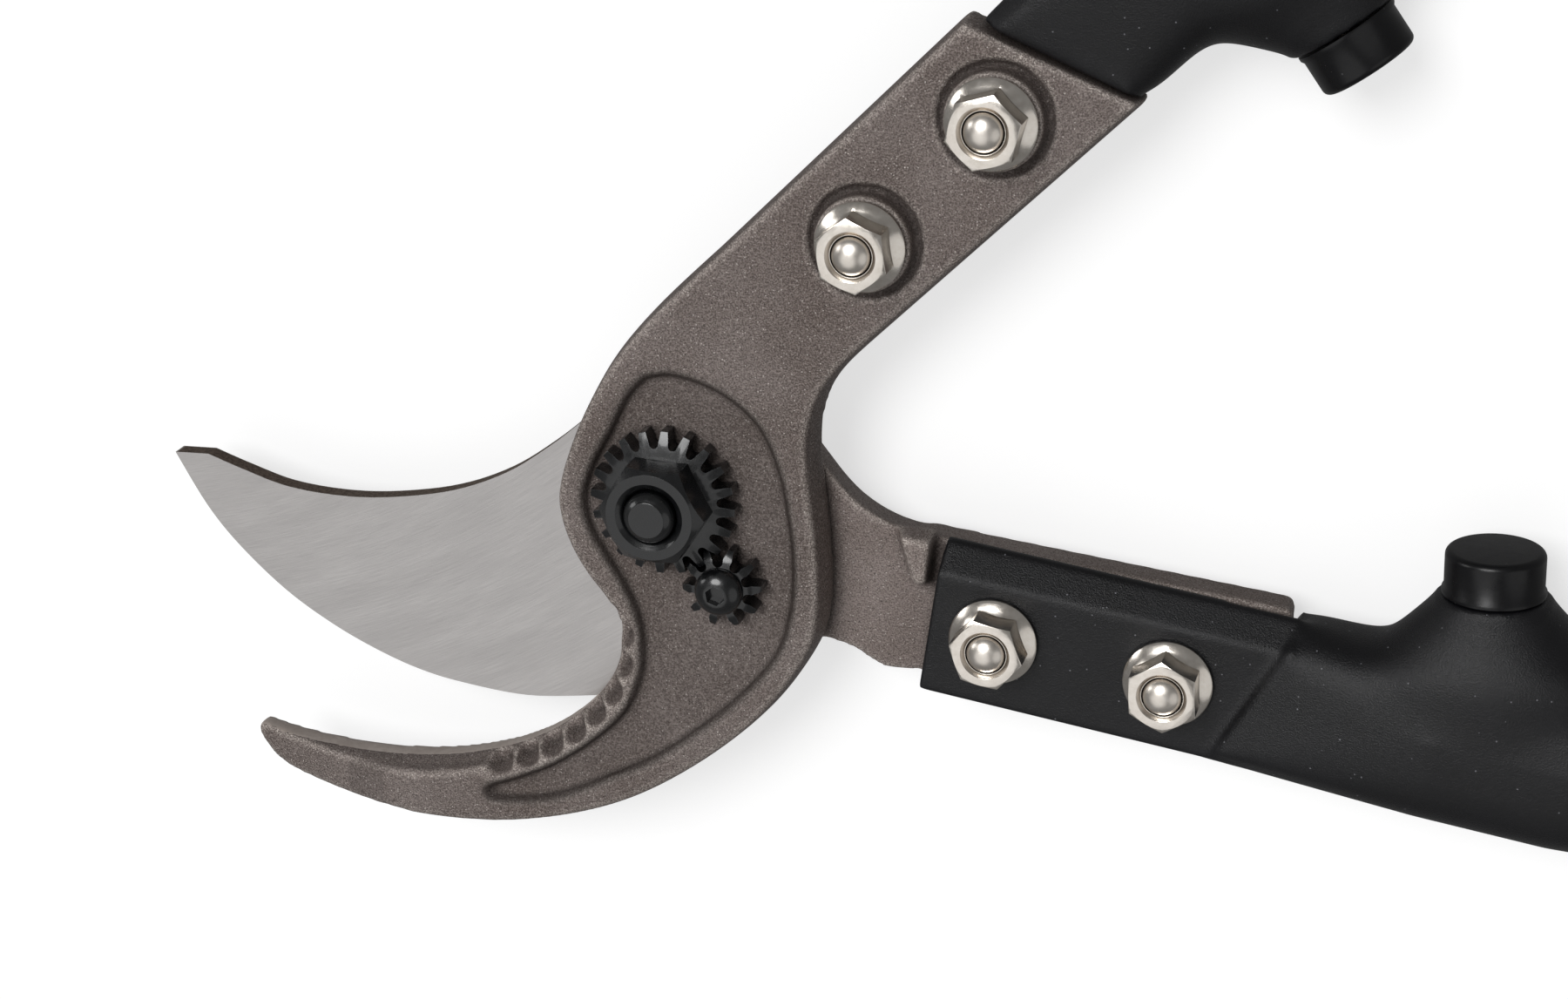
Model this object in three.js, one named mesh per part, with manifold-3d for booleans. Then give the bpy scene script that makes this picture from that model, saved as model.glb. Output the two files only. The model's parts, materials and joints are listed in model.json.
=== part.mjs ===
// Bypass lopper: one ground blade passes beside a hooked counter blade on a toothed pivot nut.
// Millimetres. The pivot axis is Z, +X runs from the pivot towards the handles, +Y towards the hook's
// handle, and Z = 0 is the plane that the pivot bolt's head and both grips lie on.
import * as THREE from 'three';
import { mergeVertices } from 'three/addons/utils/BufferGeometryUtils.js';
import { ConvexGeometry } from 'three/addons/geometries/ConvexGeometry.js';
import Module from 'manifold-3d';

const wasm = await Module();
wasm.setup();

// ---- driving dimensions -------------------------------------------------------------------------
const GAP = 0.3; // clearance between pieces that touch
const MID = 16; // height of the plane in which blade and hook slide on each other
const HOOK_THICKNESS = 10.35;
const POCKET_DEPTH = 2.2;
const BLADE_THICKNESS = 4;
const HUB_THICKNESS = 6.5;
const TANG_THICKNESS = 10.5;
const PLATE_THICKNESS = 6.55; // flat of a handle socket, where it is bolted to its tang
const BOLT_SPACING = 35.5;
const LOWER_ARM = { x: 84.65, y: -26.7, degrees: -7.7 }; // middle of the bolt pair, and handle direction
const UPPER_ARM = { x: 53.2, y: 69.5, degrees: 45.7 };
const BUMPER_TIP = { u: 73, v: 39.9 }; // from the middle of the bolt pair, along and across the handle
const BODY_RADIUS = 15.2; // half of the socket's round part across its flats, and along the pivot axis
const BODY_DEPTH = 16; // the same towards the other handle
const SOCKET_END = 126;
const TUBE_RADIUS = 12.5;
const TUBE_WALL = 1.6;
const HANDLE_END = 540;
const GRIP_RADIUS = MID; // the grips rest on Z = 0
const GRIP_START = 372;
const GEAR = { teeth: 20, module: 1.4, tip: 15.15, root: 11.7, turn: 15.5 };
const PINION = { teeth: 10, module: 1.4, tip: 8.4, root: 4.9 };
const GEAR_THICKNESS = 5.2;
const PINION_DIRECTION = -54.2; // degrees about the pivot, from +X
const PIVOT_RADIUS = 6; // M12
const HANDLE_BOLT_RADIUS = 4; // M8
const LOCK_SCREW_RADIUS = 2.5; // M5

// ---- levels worked out from them ----------------------------------------------------------------
const HOOK_BACK = MID + GAP / 2;
const HOOK_FRONT = HOOK_BACK + HOOK_THICKNESS;
const POCKET_FLOOR = HOOK_FRONT - POCKET_DEPTH;
const BLADE_FRONT = MID - GAP / 2;
const HUB_BACK = BLADE_FRONT - HUB_THICKNESS;
const TANG_BACK = BLADE_FRONT - TANG_THICKNESS;
const GEAR_BACK = POCKET_FLOOR + GAP;
const GEAR_FRONT = GEAR_BACK + GEAR_THICKNESS;
const BOSS_HEIGHT = 3;
const CENTRE_DISTANCE = (GEAR.teeth + PINION.teeth) * GEAR.module / 2;
const PINION_CENTRE = polar(CENTRE_DISTANCE, PINION_DIRECTION);

// ---- helpers ------------------------------------------------------------------------------------
function radians(degrees) {
  return degrees * Math.PI / 180;
}

function polar(radius, degrees) {
  return [radius * Math.cos(radians(degrees)), radius * Math.sin(radians(degrees))];
}

// Closed solid from any closed geometry: vertices merged, needle triangles dropped, faces outwards.
function solid(geometry) {
  const bare = geometry.clone();
  bare.deleteAttribute('normal');
  bare.deleteAttribute('uv');
  const merged = mergeVertices(bare, 1e-4);
  const at = merged.attributes.position;
  const index = merged.index.array;
  const corners = [0, 1, 2].map(() => new THREE.Vector3());
  const kept = [];
  let volume = 0;
  for (let i = 0; i < index.length; i += 3) {
    const [a, b, c] = [index[i], index[i + 1], index[i + 2]];
    if (a === b || b === c || c === a) continue;
    [a, b, c].forEach((vertex, k) => corners[k].fromBufferAttribute(at, vertex));
    volume += corners[0].dot(corners[1].clone().cross(corners[2]));
    kept.push([a, b, c]);
  }
  const triangles = kept.flatMap(([a, b, c]) => (volume > 0 ? [a, b, c] : [a, c, b]));
  return new wasm.Manifold(new wasm.Mesh({
    numProp: 3,
    vertProperties: Float32Array.from(at.array),
    triVerts: Uint32Array.from(triangles),
  }));
}

function cut(body, ...tools) {
  return tools.reduce((rest, tool) => rest.subtract(tool), body);
}

function join(body, ...others) {
  return others.reduce((sum, other) => sum.add(other), body);
}

function shapeOf(points) {
  return new THREE.Shape(points.map(([x, y]) => new THREE.Vector2(x, y)));
}

function vectors(points) {
  return points.map(([x, y]) => new THREE.Vector2(x, y));
}

function prism(shape, z0, z1, curveSegments = 2) {
  const settings = { depth: z1 - z0, bevelEnabled: false, curveSegments };
  return solid(new THREE.ExtrudeGeometry(shape, settings).translate(0, 0, z0));
}

function cylinder(radius, z0, z1, segments = 24) {
  const geometry = new THREE.CylinderGeometry(radius, radius, z1 - z0, segments);
  return solid(geometry.rotateX(Math.PI / 2).translate(0, 0, (z0 + z1) / 2));
}

function box(x0, x1, y0, y1, z0, z1) {
  const geometry = new THREE.BoxGeometry(x1 - x0, y1 - y0, z1 - z0);
  return solid(geometry.translate((x0 + x1) / 2, (y0 + y1) / 2, (z0 + z1) / 2));
}

// Turned piece about Z from [radius, height] pairs that start and end on the axis, or close.
function turned(profile, segments = 24) {
  return solid(new THREE.LatheGeometry(vectors(profile), segments).rotateX(Math.PI / 2));
}

function ring(inner, outer, z0, z1, segments = 24) {
  return turned([[inner, z0], [outer, z0], [outer, z1], [inner, z1], [inner, z0]], segments);
}

function hull(points) {
  return solid(new ConvexGeometry(points.map(([x, y, z]) => new THREE.Vector3(x, y, z))));
}

// Hexagon bar with the usual 30 degree chamfer on its top corners.
function hexagon(acrossFlats, z0, z1) {
  const corner = acrossFlats / Math.sqrt(3);
  const drop = (corner - acrossFlats / 2) * Math.tan(radians(30));
  const bar = solid(new THREE.CylinderGeometry(corner, corner, z1 - z0, 6)
    .rotateX(Math.PI / 2).translate(0, 0, (z0 + z1) / 2));
  const cone = turned([[0, z0], [corner, z0], [corner, z1 - drop], [acrossFlats / 2, z1], [0, z1]]);
  return bar.intersect(cone);
}

// Involute tooth outline; below the base circle the flanks run straight to the root.
function toothed({ teeth, module, tip, root }, backlash = 0.22, pressure = 20) {
  const pitch = teeth * module / 2;
  const base = pitch * Math.cos(radians(pressure));
  const roll = (radius) => Math.sqrt(Math.max(0, (radius / base) ** 2 - 1));
  const involute = (radius) => roll(radius) - Math.atan(roll(radius));
  const half = Math.PI / 2 / teeth - backlash / pitch + involute(pitch);
  const steps = [root, Math.max(base, root + 0.6), pitch, (pitch + tip) / 2, tip];
  const points = [];
  for (let tooth = 0; tooth < teeth; tooth += 1) {
    const middle = tooth * 2 * Math.PI / teeth;
    const flank = steps.map((radius) => [radius, half - involute(radius)]);
    const sides = [
      ...flank.map(([radius, angle]) => [radius, middle - angle]),
      ...flank.reverse().map(([radius, angle]) => [radius, middle + angle]),
    ];
    points.push(...sides.map(([radius, angle]) => [radius * Math.cos(angle), radius * Math.sin(angle)]));
  }
  return shapeOf(points);
}

// ---- the scene ----------------------------------------------------------------------------------
const lopper = new THREE.Group();

const FINISH = {
  forged: { color: 0x6b625e, roughness: 0.65, metalness: 0.7 },
  ground: { color: 0xaaa8a6, roughness: 0.4, metalness: 0.9 },
  blackened: { color: 0x17181a, roughness: 0.3, metalness: 0.6 },
  coated: { color: 0x1b1b1d, roughness: 0.5, metalness: 0.2 },
  plated: { color: 0xcac6c0, roughness: 0.2, metalness: 1 },
  bronze: { color: 0x9a7440, roughness: 0.4, metalness: 0.9 },
  rubber: { color: 0x161617, roughness: 0.6, metalness: 0 },
  tube: { color: 0x1d1d1f, roughness: 0.4, metalness: 0.3 },
};

function place(parent, name, body, finish) {
  const { vertProperties, triVerts } = body.getMesh();
  const geometry = new THREE.BufferGeometry();
  geometry.setAttribute('position', new THREE.BufferAttribute(vertProperties, 3));
  geometry.setIndex(new THREE.BufferAttribute(triVerts, 1));
  geometry.computeVertexNormals();
  const mesh = new THREE.Mesh(geometry, new THREE.MeshStandardMaterial(FINISH[finish]));
  mesh.name = name;
  parent.add(mesh);
  return mesh;
}

// ---- arm frames: u along the handle, v towards the other handle, w away from the tang -------------
// The handles differ only in how far their plates reach; the upper one is turned over about its length.
function armFrame({ x, y, degrees }, turnedOver) {
  const frame = new THREE.Matrix4().makeTranslation(x, y, MID);
  frame.multiply(new THREE.Matrix4().makeRotationZ(radians(degrees)));
  if (turnedOver) frame.multiply(new THREE.Matrix4().makeRotationX(Math.PI));
  return frame;
}

const lowerFrame = armFrame(LOWER_ARM, false);
const upperFrame = armFrame(UPPER_ARM, true);

function inFrame(frame, u, v) {
  const point = new THREE.Vector3(u, v, 0).applyMatrix4(frame);
  return [point.x, point.y];
}

// Both tangs end on the same slanted line.
const TANG_END = { middle: 33.2, slope: 0.4 };

function tangEnd(v) {
  return TANG_END.middle + TANG_END.slope * v;
}

function boltHoles(frame, z0, z1) {
  return [-1, 1].map((side) => {
    const [x, y] = inFrame(frame, side * BOLT_SPACING / 2, 0);
    return cylinder(HANDLE_BOLT_RADIUS + GAP, z0, z1, 16).translate([x, y, 0]);
  });
}

// ---- hook: forged counter blade -------------------------------------------------------------------
const throatEdge = [[-12.1, -27.5], [-11.8, -33.5], [-12.6, -39.5], [-15.4, -45], [-20, -50.6],
  [-26, -55.7], [-33, -59.8], [-41, -63]];

function hookOutline() {
  const outline = new THREE.Shape();
  outline.moveTo(...inFrame(upperFrame, tangEnd(-17.8), -17.8));
  outline.lineTo(10.5, 52);
  outline.splineThru(vectors([[-2, 39.6], [-11, 28.8], [-16.6, 18.6], [-20.4, 9.2], [-23, 0],
    [-22.8, -6.5], [-20.6, -13], [-17.2, -19], [-13.8, -23.4], ...throatEdge, [-52, -65.8],
    [-66, -67.2], [-80, -66.7], [-90, -65.3], [-95.2, -64.2], [-97.6, -66], [-96.3, -69.3],
    [-91.5, -72.6], [-82.4, -75.4], [-71.4, -77.6], [-60.7, -78.8], [-50, -79.1], [-36, -77.9],
    [-20, -73.8], [-5.5, -67.2], [9.5, -56.4], [21, -45], [28.2, -34.5], [31.8, -26],
    [32.4, -15], [31.7, -5], [30.5, 5], [29.8, 13], [30.6, 19.5], [32.7, 25.2], [36.2, 30.2], [41, 35.2]]));
  outline.lineTo(...inFrame(upperFrame, tangEnd(16.6), 16.6));
  return outline;
}

function pocketOutline() {
  const outline = new THREE.Shape();
  outline.moveTo(-4.3, 25.4);
  outline.splineThru(vectors([[-8.2, 20.8], [-12, 13], [-15.8, 5.6], [-17.8, -1.5], [-16.6, -8],
    [-13.4, -13.8], [-9.9, -19.5], [-7.1, -25.5], [-6, -32], [-6.4, -39], [-9.6, -47.4],
    [-16, -54.6], [-25, -61.6], [-33, -66.4], [-41, -70.8]]));
  outline.splineThru(vectors([[-33, -70.2], [-24, -68], [-13, -63.8], [-3, -58], [8, -49.2],
    [17, -40.2], [23.4, -31.4], [26.2, -22], [26.8, -12], [25.8, -2], [23.8, 8], [19.4, 17.4],
    [11.5, 23.6], [2, 26.4], [-4.3, 25.4]]));
  return outline;
}

// The jaw thins towards its tip: everything in front of this slanted plane goes.
function jawTaper() {
  const rise = 9.6;
  const block = new THREE.BoxGeometry(60, 60, 20).translate(-30, 0, 10);
  return solid(block.rotateY(-radians(rise)).translate(-58, -70, HOOK_FRONT));
}

function sapNotches() {
  const edge = new THREE.SplineCurve(vectors(throatEdge));
  const count = 7;
  return Array.from({ length: count }, (_, i) => {
    const { x, y } = edge.getPointAt((i + 0.5) / count);
    return cylinder(2.6, HOOK_FRONT - 4.5, HOOK_FRONT + 1, 16).translate([x - 0.2, y + 0.2, 0]);
  });
}

function hook() {
  const [boltA, boltB] = [-1, 1].map((side) => inFrame(upperFrame, side * BOLT_SPACING / 2, 0));
  const bossProfile = [[0, HOOK_FRONT - 1], [11.2, HOOK_FRONT - 1], [11.2, HOOK_FRONT],
    [9.6, HOOK_FRONT + BOSS_HEIGHT], [0, HOOK_FRONT + BOSS_HEIGHT]];
  const bosses = [boltA, boltB].map(([x, y]) => turned(bossProfile).translate([x, y, 0]));
  const body = join(prism(hookOutline(), HOOK_BACK, HOOK_FRONT), ...bosses);
  return cut(
    body,
    prism(pocketOutline(), POCKET_FLOOR, HOOK_FRONT + 5),
    jawTaper(),
    cylinder(PIVOT_RADIUS + GAP, 0, 40),
    cylinder(LOCK_SCREW_RADIUS + GAP, 0, 40, 20).translate([...PINION_CENTRE, 0]),
    ...boltHoles(upperFrame, 0, 40),
    ...sapNotches(),
  );
}

// ---- blade: ground cutting blade with its forged tang ------------------------------------------------
const cuttingEdge = [[-20, -50.2], [-35, -52], [-50, -50.8], [-60, -48.8], [-70, -45.2], [-80, -40.3],
  [-90, -33.8], [-100, -24.8], [-107, -16.3], [-113.7, -4.8]];

function bladeOutline() {
  const outline = new THREE.Shape();
  outline.moveTo(-113.7, -4.8);
  outline.lineTo(-106, -4.5);
  outline.splineThru(vectors([[-98, -7.2], [-88, -10], [-76, -10.9], [-64, -10], [-50, -7],
    [-38, -1.8], [-28, 5.2], [-19, 12.8], [-9, 20.4], [3, 22.8], [14, 19.2], [22, 12.6], [29, 5.2],
    [36, -1.6]]));
  outline.lineTo(36, -32.6);
  outline.splineThru(vectors([[24, -31], [12, -34.5], [0, -41.5], [-10, -47.2], [-20, -50.2]]));
  outline.splineThru(vectors(cuttingEdge.slice(1)));
  return outline;
}

function tangOutline() {
  const outline = new THREE.Shape();
  outline.moveTo(29, 5.2);
  outline.splineThru(vectors([[36, -1.6], [44, -5.4], [54, -6.6]]));
  outline.lineTo(...inFrame(lowerFrame, tangEnd(18) - 1, 18));
  outline.lineTo(...inFrame(lowerFrame, tangEnd(-13.8), -13.8));
  outline.lineTo(...inFrame(lowerFrame, -33, -13.8));
  outline.splineThru(vectors([[43, -36.2], [36, -32.6], [29, -31]]));
  return outline;
}

// Half-space cutters that lean back from the cutting edge, one for each stretch of it.
function edgeBevels() {
  const slope = 24;
  return cuttingEdge.slice(1).map(([x1, y1], i) => {
    const [x0, y0] = cuttingEdge[i];
    const along = Math.atan2(y0 - y1, x0 - x1);
    const block = new THREE.BoxGeometry(400, 80, 40).translate(0, -40, -20);
    block.rotateX(-radians(90 - slope)).rotateZ(along);
    return solid(block.translate(x0, y0, BLADE_FRONT - 0.25));
  });
}

function blade() {
  const plate = prism(bladeOutline(), BLADE_FRONT - BLADE_THICKNESS, BLADE_FRONT);
  const hub = cylinder(22.5, HUB_BACK, BLADE_FRONT, 48);
  const tang = prism(tangOutline(), TANG_BACK, BLADE_FRONT);
  const lug = hull([
    ...[[45.2, -4.6], [52.6, -4.6], [52.2, -16], [49.8, -16]].map(([x, y]) => [x, y, BLADE_FRONT - 1]),
    ...[[47.8, -5.4], [52, -5.6], [51.5, -13.2], [50.4, -13.2]].map(([x, y]) => [x, y, BLADE_FRONT + 6]),
  ]);
  return cut(
    join(cut(plate, ...edgeBevels()), hub, tang, lug),
    cylinder(BUSH_RADIUS + GAP, 0, 40),
    ...boltHoles(lowerFrame, 0, 40),
  );
}

// ---- pivot ----------------------------------------------------------------------------------------
const BUSH_RADIUS = 9;
const PIVOT_HEAD = 7.2;
const NUT_TOP = GEAR_FRONT + 7.5;
const PIVOT_FLATS = 19;

function pivotBolt() {
  const end = NUT_TOP + 1.7;
  const shank = turned([[0, 0], [PIVOT_RADIUS, 0], [PIVOT_RADIUS, end - 2.4], [3.65, end], [0, end]]);
  const head = hexagon(PIVOT_FLATS, -PIVOT_HEAD, 0).rotate([180, 0, 0]);
  return join(shank, head);
}

function pivotNut() {
  const plate = prism(toothed(GEAR), GEAR_BACK, GEAR_FRONT).rotate([0, 0, GEAR.turn]);
  const hex = hexagon(PIVOT_FLATS, GEAR_FRONT - 1, NUT_TOP).rotate([0, 0, 28]);
  const countersink = turned([[0, NUT_TOP - 1], [PIVOT_RADIUS + GAP, NUT_TOP - 1.2],
    [PIVOT_RADIUS + 1.9, NUT_TOP + 0.6], [0, NUT_TOP + 0.6]]);
  return cut(join(plate, hex), cylinder(PIVOT_RADIUS + GAP, 0, 40), countersink);
}

// The pinion's teeth sit in the nut's gaps: half a tooth on from the line of centres.
function lockPinion() {
  const wheel = prism(toothed(PINION), GEAR_BACK, GEAR_FRONT);
  const turn = PINION_DIRECTION + 180 - meshTurn();
  return cut(wheel.rotate([0, 0, turn]), cylinder(LOCK_SCREW_RADIUS + GAP, 0, 40, 20))
    .translate([...PINION_CENTRE, 0]);
}

function meshTurn() {
  const gearPitch = 360 / GEAR.teeth;
  const pinionPitch = 360 / PINION.teeth;
  const lead = (((PINION_DIRECTION - GEAR.turn) % gearPitch) + gearPitch) % gearPitch;
  return pinionPitch / 2 - lead * GEAR.teeth / PINION.teeth;
}

function lockScrew() {
  const seat = GEAR_FRONT + GAP;
  const screw = turned([[0, HOOK_BACK + 0.8], [LOCK_SCREW_RADIUS, HOOK_BACK + 0.8],
    [LOCK_SCREW_RADIUS, seat], [4.75, seat], [4.75, seat + 1.2], [4.2, seat + 2.6], [2.4, seat + 3.4],
    [0, seat + 3.4]], 24);
  const key = cylinder(Math.sqrt(3), seat + 1.4, seat + 4, 6);
  return cut(screw, key).translate([...PINION_CENTRE, 0]);
}

// ---- handles: every piece below is made in an arm's own frame ------------------------------------------
// The closing angle brings both stop bumpers together, and their axes lean so that the faces meet flat.
function tipAngle(frame) {
  const [x, y] = inFrame(frame, BUMPER_TIP.u, BUMPER_TIP.v);
  return Math.atan2(y, x) * 180 / Math.PI;
}

const CLOSING = tipAngle(upperFrame) - tipAngle(lowerFrame);
const BUMPER_LEAN = 90 + (UPPER_ARM.degrees - LOWER_ARM.degrees - CLOSING) / 2;
const BUMPER_HEIGHT = 8.7;
const BUMPER_RADIUS = 9.5;

// Moves a piece made about Z, tip at Z = 0, to the bumper's place in the arm frame.
function atBumper(body) {
  return body.rotate([0, 90, 0]).rotate([0, 0, BUMPER_LEAN]).translate([BUMPER_TIP.u, BUMPER_TIP.v, 0]);
}

// Moves a piece made about Z to the handle's own line.
function alongHandle(body) {
  return body.rotate([0, 90, 0]);
}

function socketBody() {
  const front = PLATE_THICKNESS + 1.6;
  const back = -(TANG_THICKNESS - 0.2);
  const section = [[-15, back + 3], [-12, back], [13.5, back], [16.4, back + 3], [16.4, front - 5],
    [12.4, front], [-12, front], [-15, front - 3]];
  const slanted = section.map(([v, w]) => [tangEnd(v) + 0.6, v, w]);
  const round = Array.from({ length: 24 }, (_, i) => {
    const [v, w] = polar(1, i * 360 / 24);
    return [BUMPER_TIP.u - 3, v * BODY_DEPTH, w * BODY_RADIUS];
  });
  return hull([...slanted, ...round]);
}

// Flat that is bolted to the tang; a wide 45 degree bevel runs along its inner edge.
function socketPlate(edge) {
  const bevel = new THREE.BoxGeometry(120, 20, 20).rotateX(Math.PI / 4);
  bevel.translate(0, edge - 2.3 + Math.SQRT1_2 * 10, PLATE_THICKNESS - 2.4 + Math.SQRT1_2 * 10);
  return cut(box(-30.5, 40.5, -14.6, edge, GAP / 2, GAP / 2 + PLATE_THICKNESS), solid(bevel));
}

// Room that the bumper's flared foot fills: it narrows towards the bolts.
function bossRoom() {
  const plan = [[46, 7], [62, 13.2], [100, 13.2], [100, -13.2], [62, -13.2], [46, -7]];
  return hull(plan.flatMap(([u, w]) => [[u, 6, w], [u, 60, w]]));
}

function socket(plateEdge) {
  const sleeve = alongHandle(cylinder(1, BUMPER_TIP.u - 3, SOCKET_END)
    .scale([BODY_RADIUS, BODY_DEPTH, 1]));
  const top = -BUMPER_HEIGHT - GAP;
  const flare = turned([[0, -32], [34, -32], [34, -23.5], [27, -20.5], [21.5, -17.6], [16.5, -14.4],
    [12.8, -11.3], [11.4, top - 0.6], [10.9, top], [0, top]]);
  const boss = atBumper(flare).intersect(bossRoom());
  const bores = [
    alongHandle(cylinder(TUBE_RADIUS + GAP, 62, SOCKET_END + 1)),
    atBumper(cylinder(STUD_RADIUS + GAP, -20, 0, 20)),
    ...RIVET_PLACES.map((u) => rivetHole(u)),
    ...[-1, 1].map((side) => cylinder(HANDLE_BOLT_RADIUS + GAP, -20, 20, 16)
      .translate([side * BOLT_SPACING / 2, 0, 0])),
  ];
  return cut(join(socketPlate(plateEdge), socketBody(), sleeve, boss), ...bores);
}

const STUD_RADIUS = 3;

function bumper() {
  const rim = 0.9;
  const puck = turned([[0, -BUMPER_HEIGHT], [BUMPER_RADIUS + 0.4, -BUMPER_HEIGHT],
    [BUMPER_RADIUS, -BUMPER_HEIGHT + 1], [BUMPER_RADIUS, -rim], [BUMPER_RADIUS - rim, 0], [0, 0]]);
  const seat = -BUMPER_HEIGHT;
  const hole = turned([[0, seat - 1], [STUD_RADIUS + GAP, seat - 1], [STUD_RADIUS + GAP, seat + 1],
    [7, seat + 1], [7, seat + 3], [0, seat + 3]]);
  return atBumper(cut(puck, hole));
}

function bumperStud() {
  const seat = -BUMPER_HEIGHT;
  return atBumper(turned([[0, seat - 9], [STUD_RADIUS, seat - 9], [STUD_RADIUS, seat + 1.3],
    [6.7, seat + 1.3], [6.7, seat + 2.7], [0, seat + 2.7]], 24));
}

const RIVET_PLACES = [106, 118];
const RIVET_RADIUS = 2.4;

function rivetHole(u) {
  return cylinder(RIVET_RADIUS + GAP, -30, 30, 12).rotate([90, 0, 0]).translate([u, 0, 0]);
}

function rivet(u) {
  const reach = BODY_DEPTH + GAP;
  const head = [[3.8, 0], [3.4, 0.8], [2.2, 1.3]];
  const profile = [[0, -reach - 1.3], ...head.map(([r, h]) => [r, -reach - h]).reverse(),
    [RIVET_RADIUS, -reach], [RIVET_RADIUS, reach], ...head.map(([r, h]) => [r, reach + h]),
    [0, reach + 1.3]];
  return turned(profile, 12).rotate([90, 0, 0]).translate([u, 0, 0]);
}

function handleTube() {
  const tube = ring(TUBE_RADIUS - TUBE_WALL, TUBE_RADIUS, 62 + GAP, HANDLE_END - 3);
  return cut(alongHandle(tube), ...RIVET_PLACES.map((u) => rivetHole(u)));
}

function grip() {
  const bore = TUBE_RADIUS + GAP;
  const start = GRIP_START + 7 + GAP;
  const end = HANDLE_END - 5 - GAP;
  const profile = [[bore, start], [GRIP_RADIUS, start], [GRIP_RADIUS, start + 3], [14.8, start + 9],
    [14.4, start + 30], [15.1, start + 75], [14.6, start + 125], [GRIP_RADIUS, end - 6],
    [GRIP_RADIUS, end], [bore, end], [bore, start]];
  return alongHandle(turned(profile));
}

function gripCollar() {
  return alongHandle(ring(TUBE_RADIUS + GAP, 15.2, GRIP_START, GRIP_START + 7));
}

function endCap() {
  const seat = HANDLE_END - 5;
  const bore = TUBE_RADIUS + GAP;
  const plug = TUBE_RADIUS - TUBE_WALL - GAP;
  return alongHandle(turned([[0, seat - 12], [plug, seat - 12], [plug, seat + 2 + GAP],
    [bore, seat + 2 + GAP], [bore, seat], [15.4, seat], [15.4, seat + 3], [13.6, seat + 5],
    [0, seat + 5]]));
}

// ---- handle bolts and nuts ------------------------------------------------------------------------------
const NUT_HEIGHT = 8;

function flangeNut(seat, turn) {
  const profile = [[0, seat], [8.95, seat], [8.95, seat + 1.1], [6.2, seat + 2.6], [0, seat + 2.6]];
  const flange = turned(profile, 24);
  const hex = hexagon(13, seat + 1, seat + NUT_HEIGHT).rotate([0, 0, turn]);
  const top = seat + NUT_HEIGHT;
  const countersink = turned([[0, top - 0.6], [HANDLE_BOLT_RADIUS + GAP, top - 0.6],
    [HANDLE_BOLT_RADIUS + 0.9, top + 0.1], [0, top + 0.1]], 16);
  const thread = cylinder(HANDLE_BOLT_RADIUS + GAP, 0, 45, 16);
  return cut(join(flange, hex), thread, countersink);
}

function handleBolt(headSeat, nutTop) {
  const r = HANDLE_BOLT_RADIUS;
  return turned([[0, headSeat - 4.6], [4.6, headSeat - 4.2], [7.6, headSeat - 2.8],
    [9, headSeat - 0.9], [9, headSeat], [r, headSeat], [r, nutTop - 1.4], [r * 0.86, nutTop - 0.2],
    [r * 0.5, nutTop + 0.8], [0, nutTop + 1.2]], 16);
}

function addFasteners(parent, arm, frame, headSeat, nutSeat, turns) {
  [-1, 1].forEach((side, i) => {
    const [x, y] = inFrame(frame, side * BOLT_SPACING / 2, 0);
    const which = ['inner', 'outer'][i];
    const bolt = handleBolt(headSeat - GAP, nutSeat + GAP + NUT_HEIGHT);
    place(parent, `${arm}_${which}_bolt`, bolt.translate([x, y, 0]), 'plated');
    const nut = flangeNut(nutSeat + GAP, turns[i]);
    place(parent, `${arm}_${which}_nut`, nut.translate([x, y, 0]), 'plated');
  });
}

function addHandle(parent, arm, frame, plateEdge) {
  const handle = new THREE.Group();
  handle.applyMatrix4(frame);
  place(handle, `${arm}_socket`, socket(plateEdge), 'coated');
  place(handle, `${arm}_bumper`, bumper(), 'rubber');
  place(handle, `${arm}_bumper_stud`, bumperStud(), 'plated');
  place(handle, `${arm}_tube`, handleTube(), 'tube');
  RIVET_PLACES.forEach((u, i) => place(handle, `${arm}_rivet_${i + 1}`, rivet(u), 'blackened'));
  place(handle, `${arm}_collar`, gripCollar(), 'tube');
  place(handle, `${arm}_grip`, grip(), 'rubber');
  place(handle, `${arm}_end_cap`, endCap(), 'coated');
  parent.add(handle);
}

// ---- assembly: two arms on the pivot ------------------------------------------------------------
const hookArm = new THREE.Group();
place(hookArm, 'hook', hook(), 'forged');
place(hookArm, 'pivot_bolt', pivotBolt(), 'blackened');
place(hookArm, 'pivot_bush', ring(PIVOT_RADIUS + GAP, BUSH_RADIUS, HUB_BACK, BLADE_FRONT), 'bronze');
place(hookArm, 'thrust_washer', ring(PIVOT_RADIUS + GAP, 14, PIVOT_HEAD + GAP, HUB_BACK - GAP), 'plated');
place(hookArm, 'pivot_nut', pivotNut(), 'blackened');
place(hookArm, 'lock_pinion', lockPinion(), 'blackened');
place(hookArm, 'lock_screw', lockScrew(), 'blackened');
addHandle(hookArm, 'upper', upperFrame, 15);
const upperSeats = [MID - GAP / 2 - PLATE_THICKNESS, HOOK_FRONT + BOSS_HEIGHT];
addFasteners(hookArm, 'upper', upperFrame, ...upperSeats, [8, -14]);

const bladeArm = new THREE.Group();
place(bladeArm, 'blade', blade(), 'ground');
addHandle(bladeArm, 'lower', lowerFrame, 17.4);
addFasteners(bladeArm, 'lower', lowerFrame, TANG_BACK, MID + GAP / 2 + PLATE_THICKNESS, [20, 3]);

lopper.add(hookArm, bladeArm);

export default lopper;
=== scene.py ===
"""Bypass lopper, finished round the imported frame.

Every outline and section below is in millimetres, in the frame's own axes: the pivot is the Z axis,
+X runs from it to the handles, and Z = 0 is the plane the tool lies on. piece() turns them into metres.
Each handle is made in its own arm frame: u along the handle, v towards the other handle, w off the tang.
"""

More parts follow.
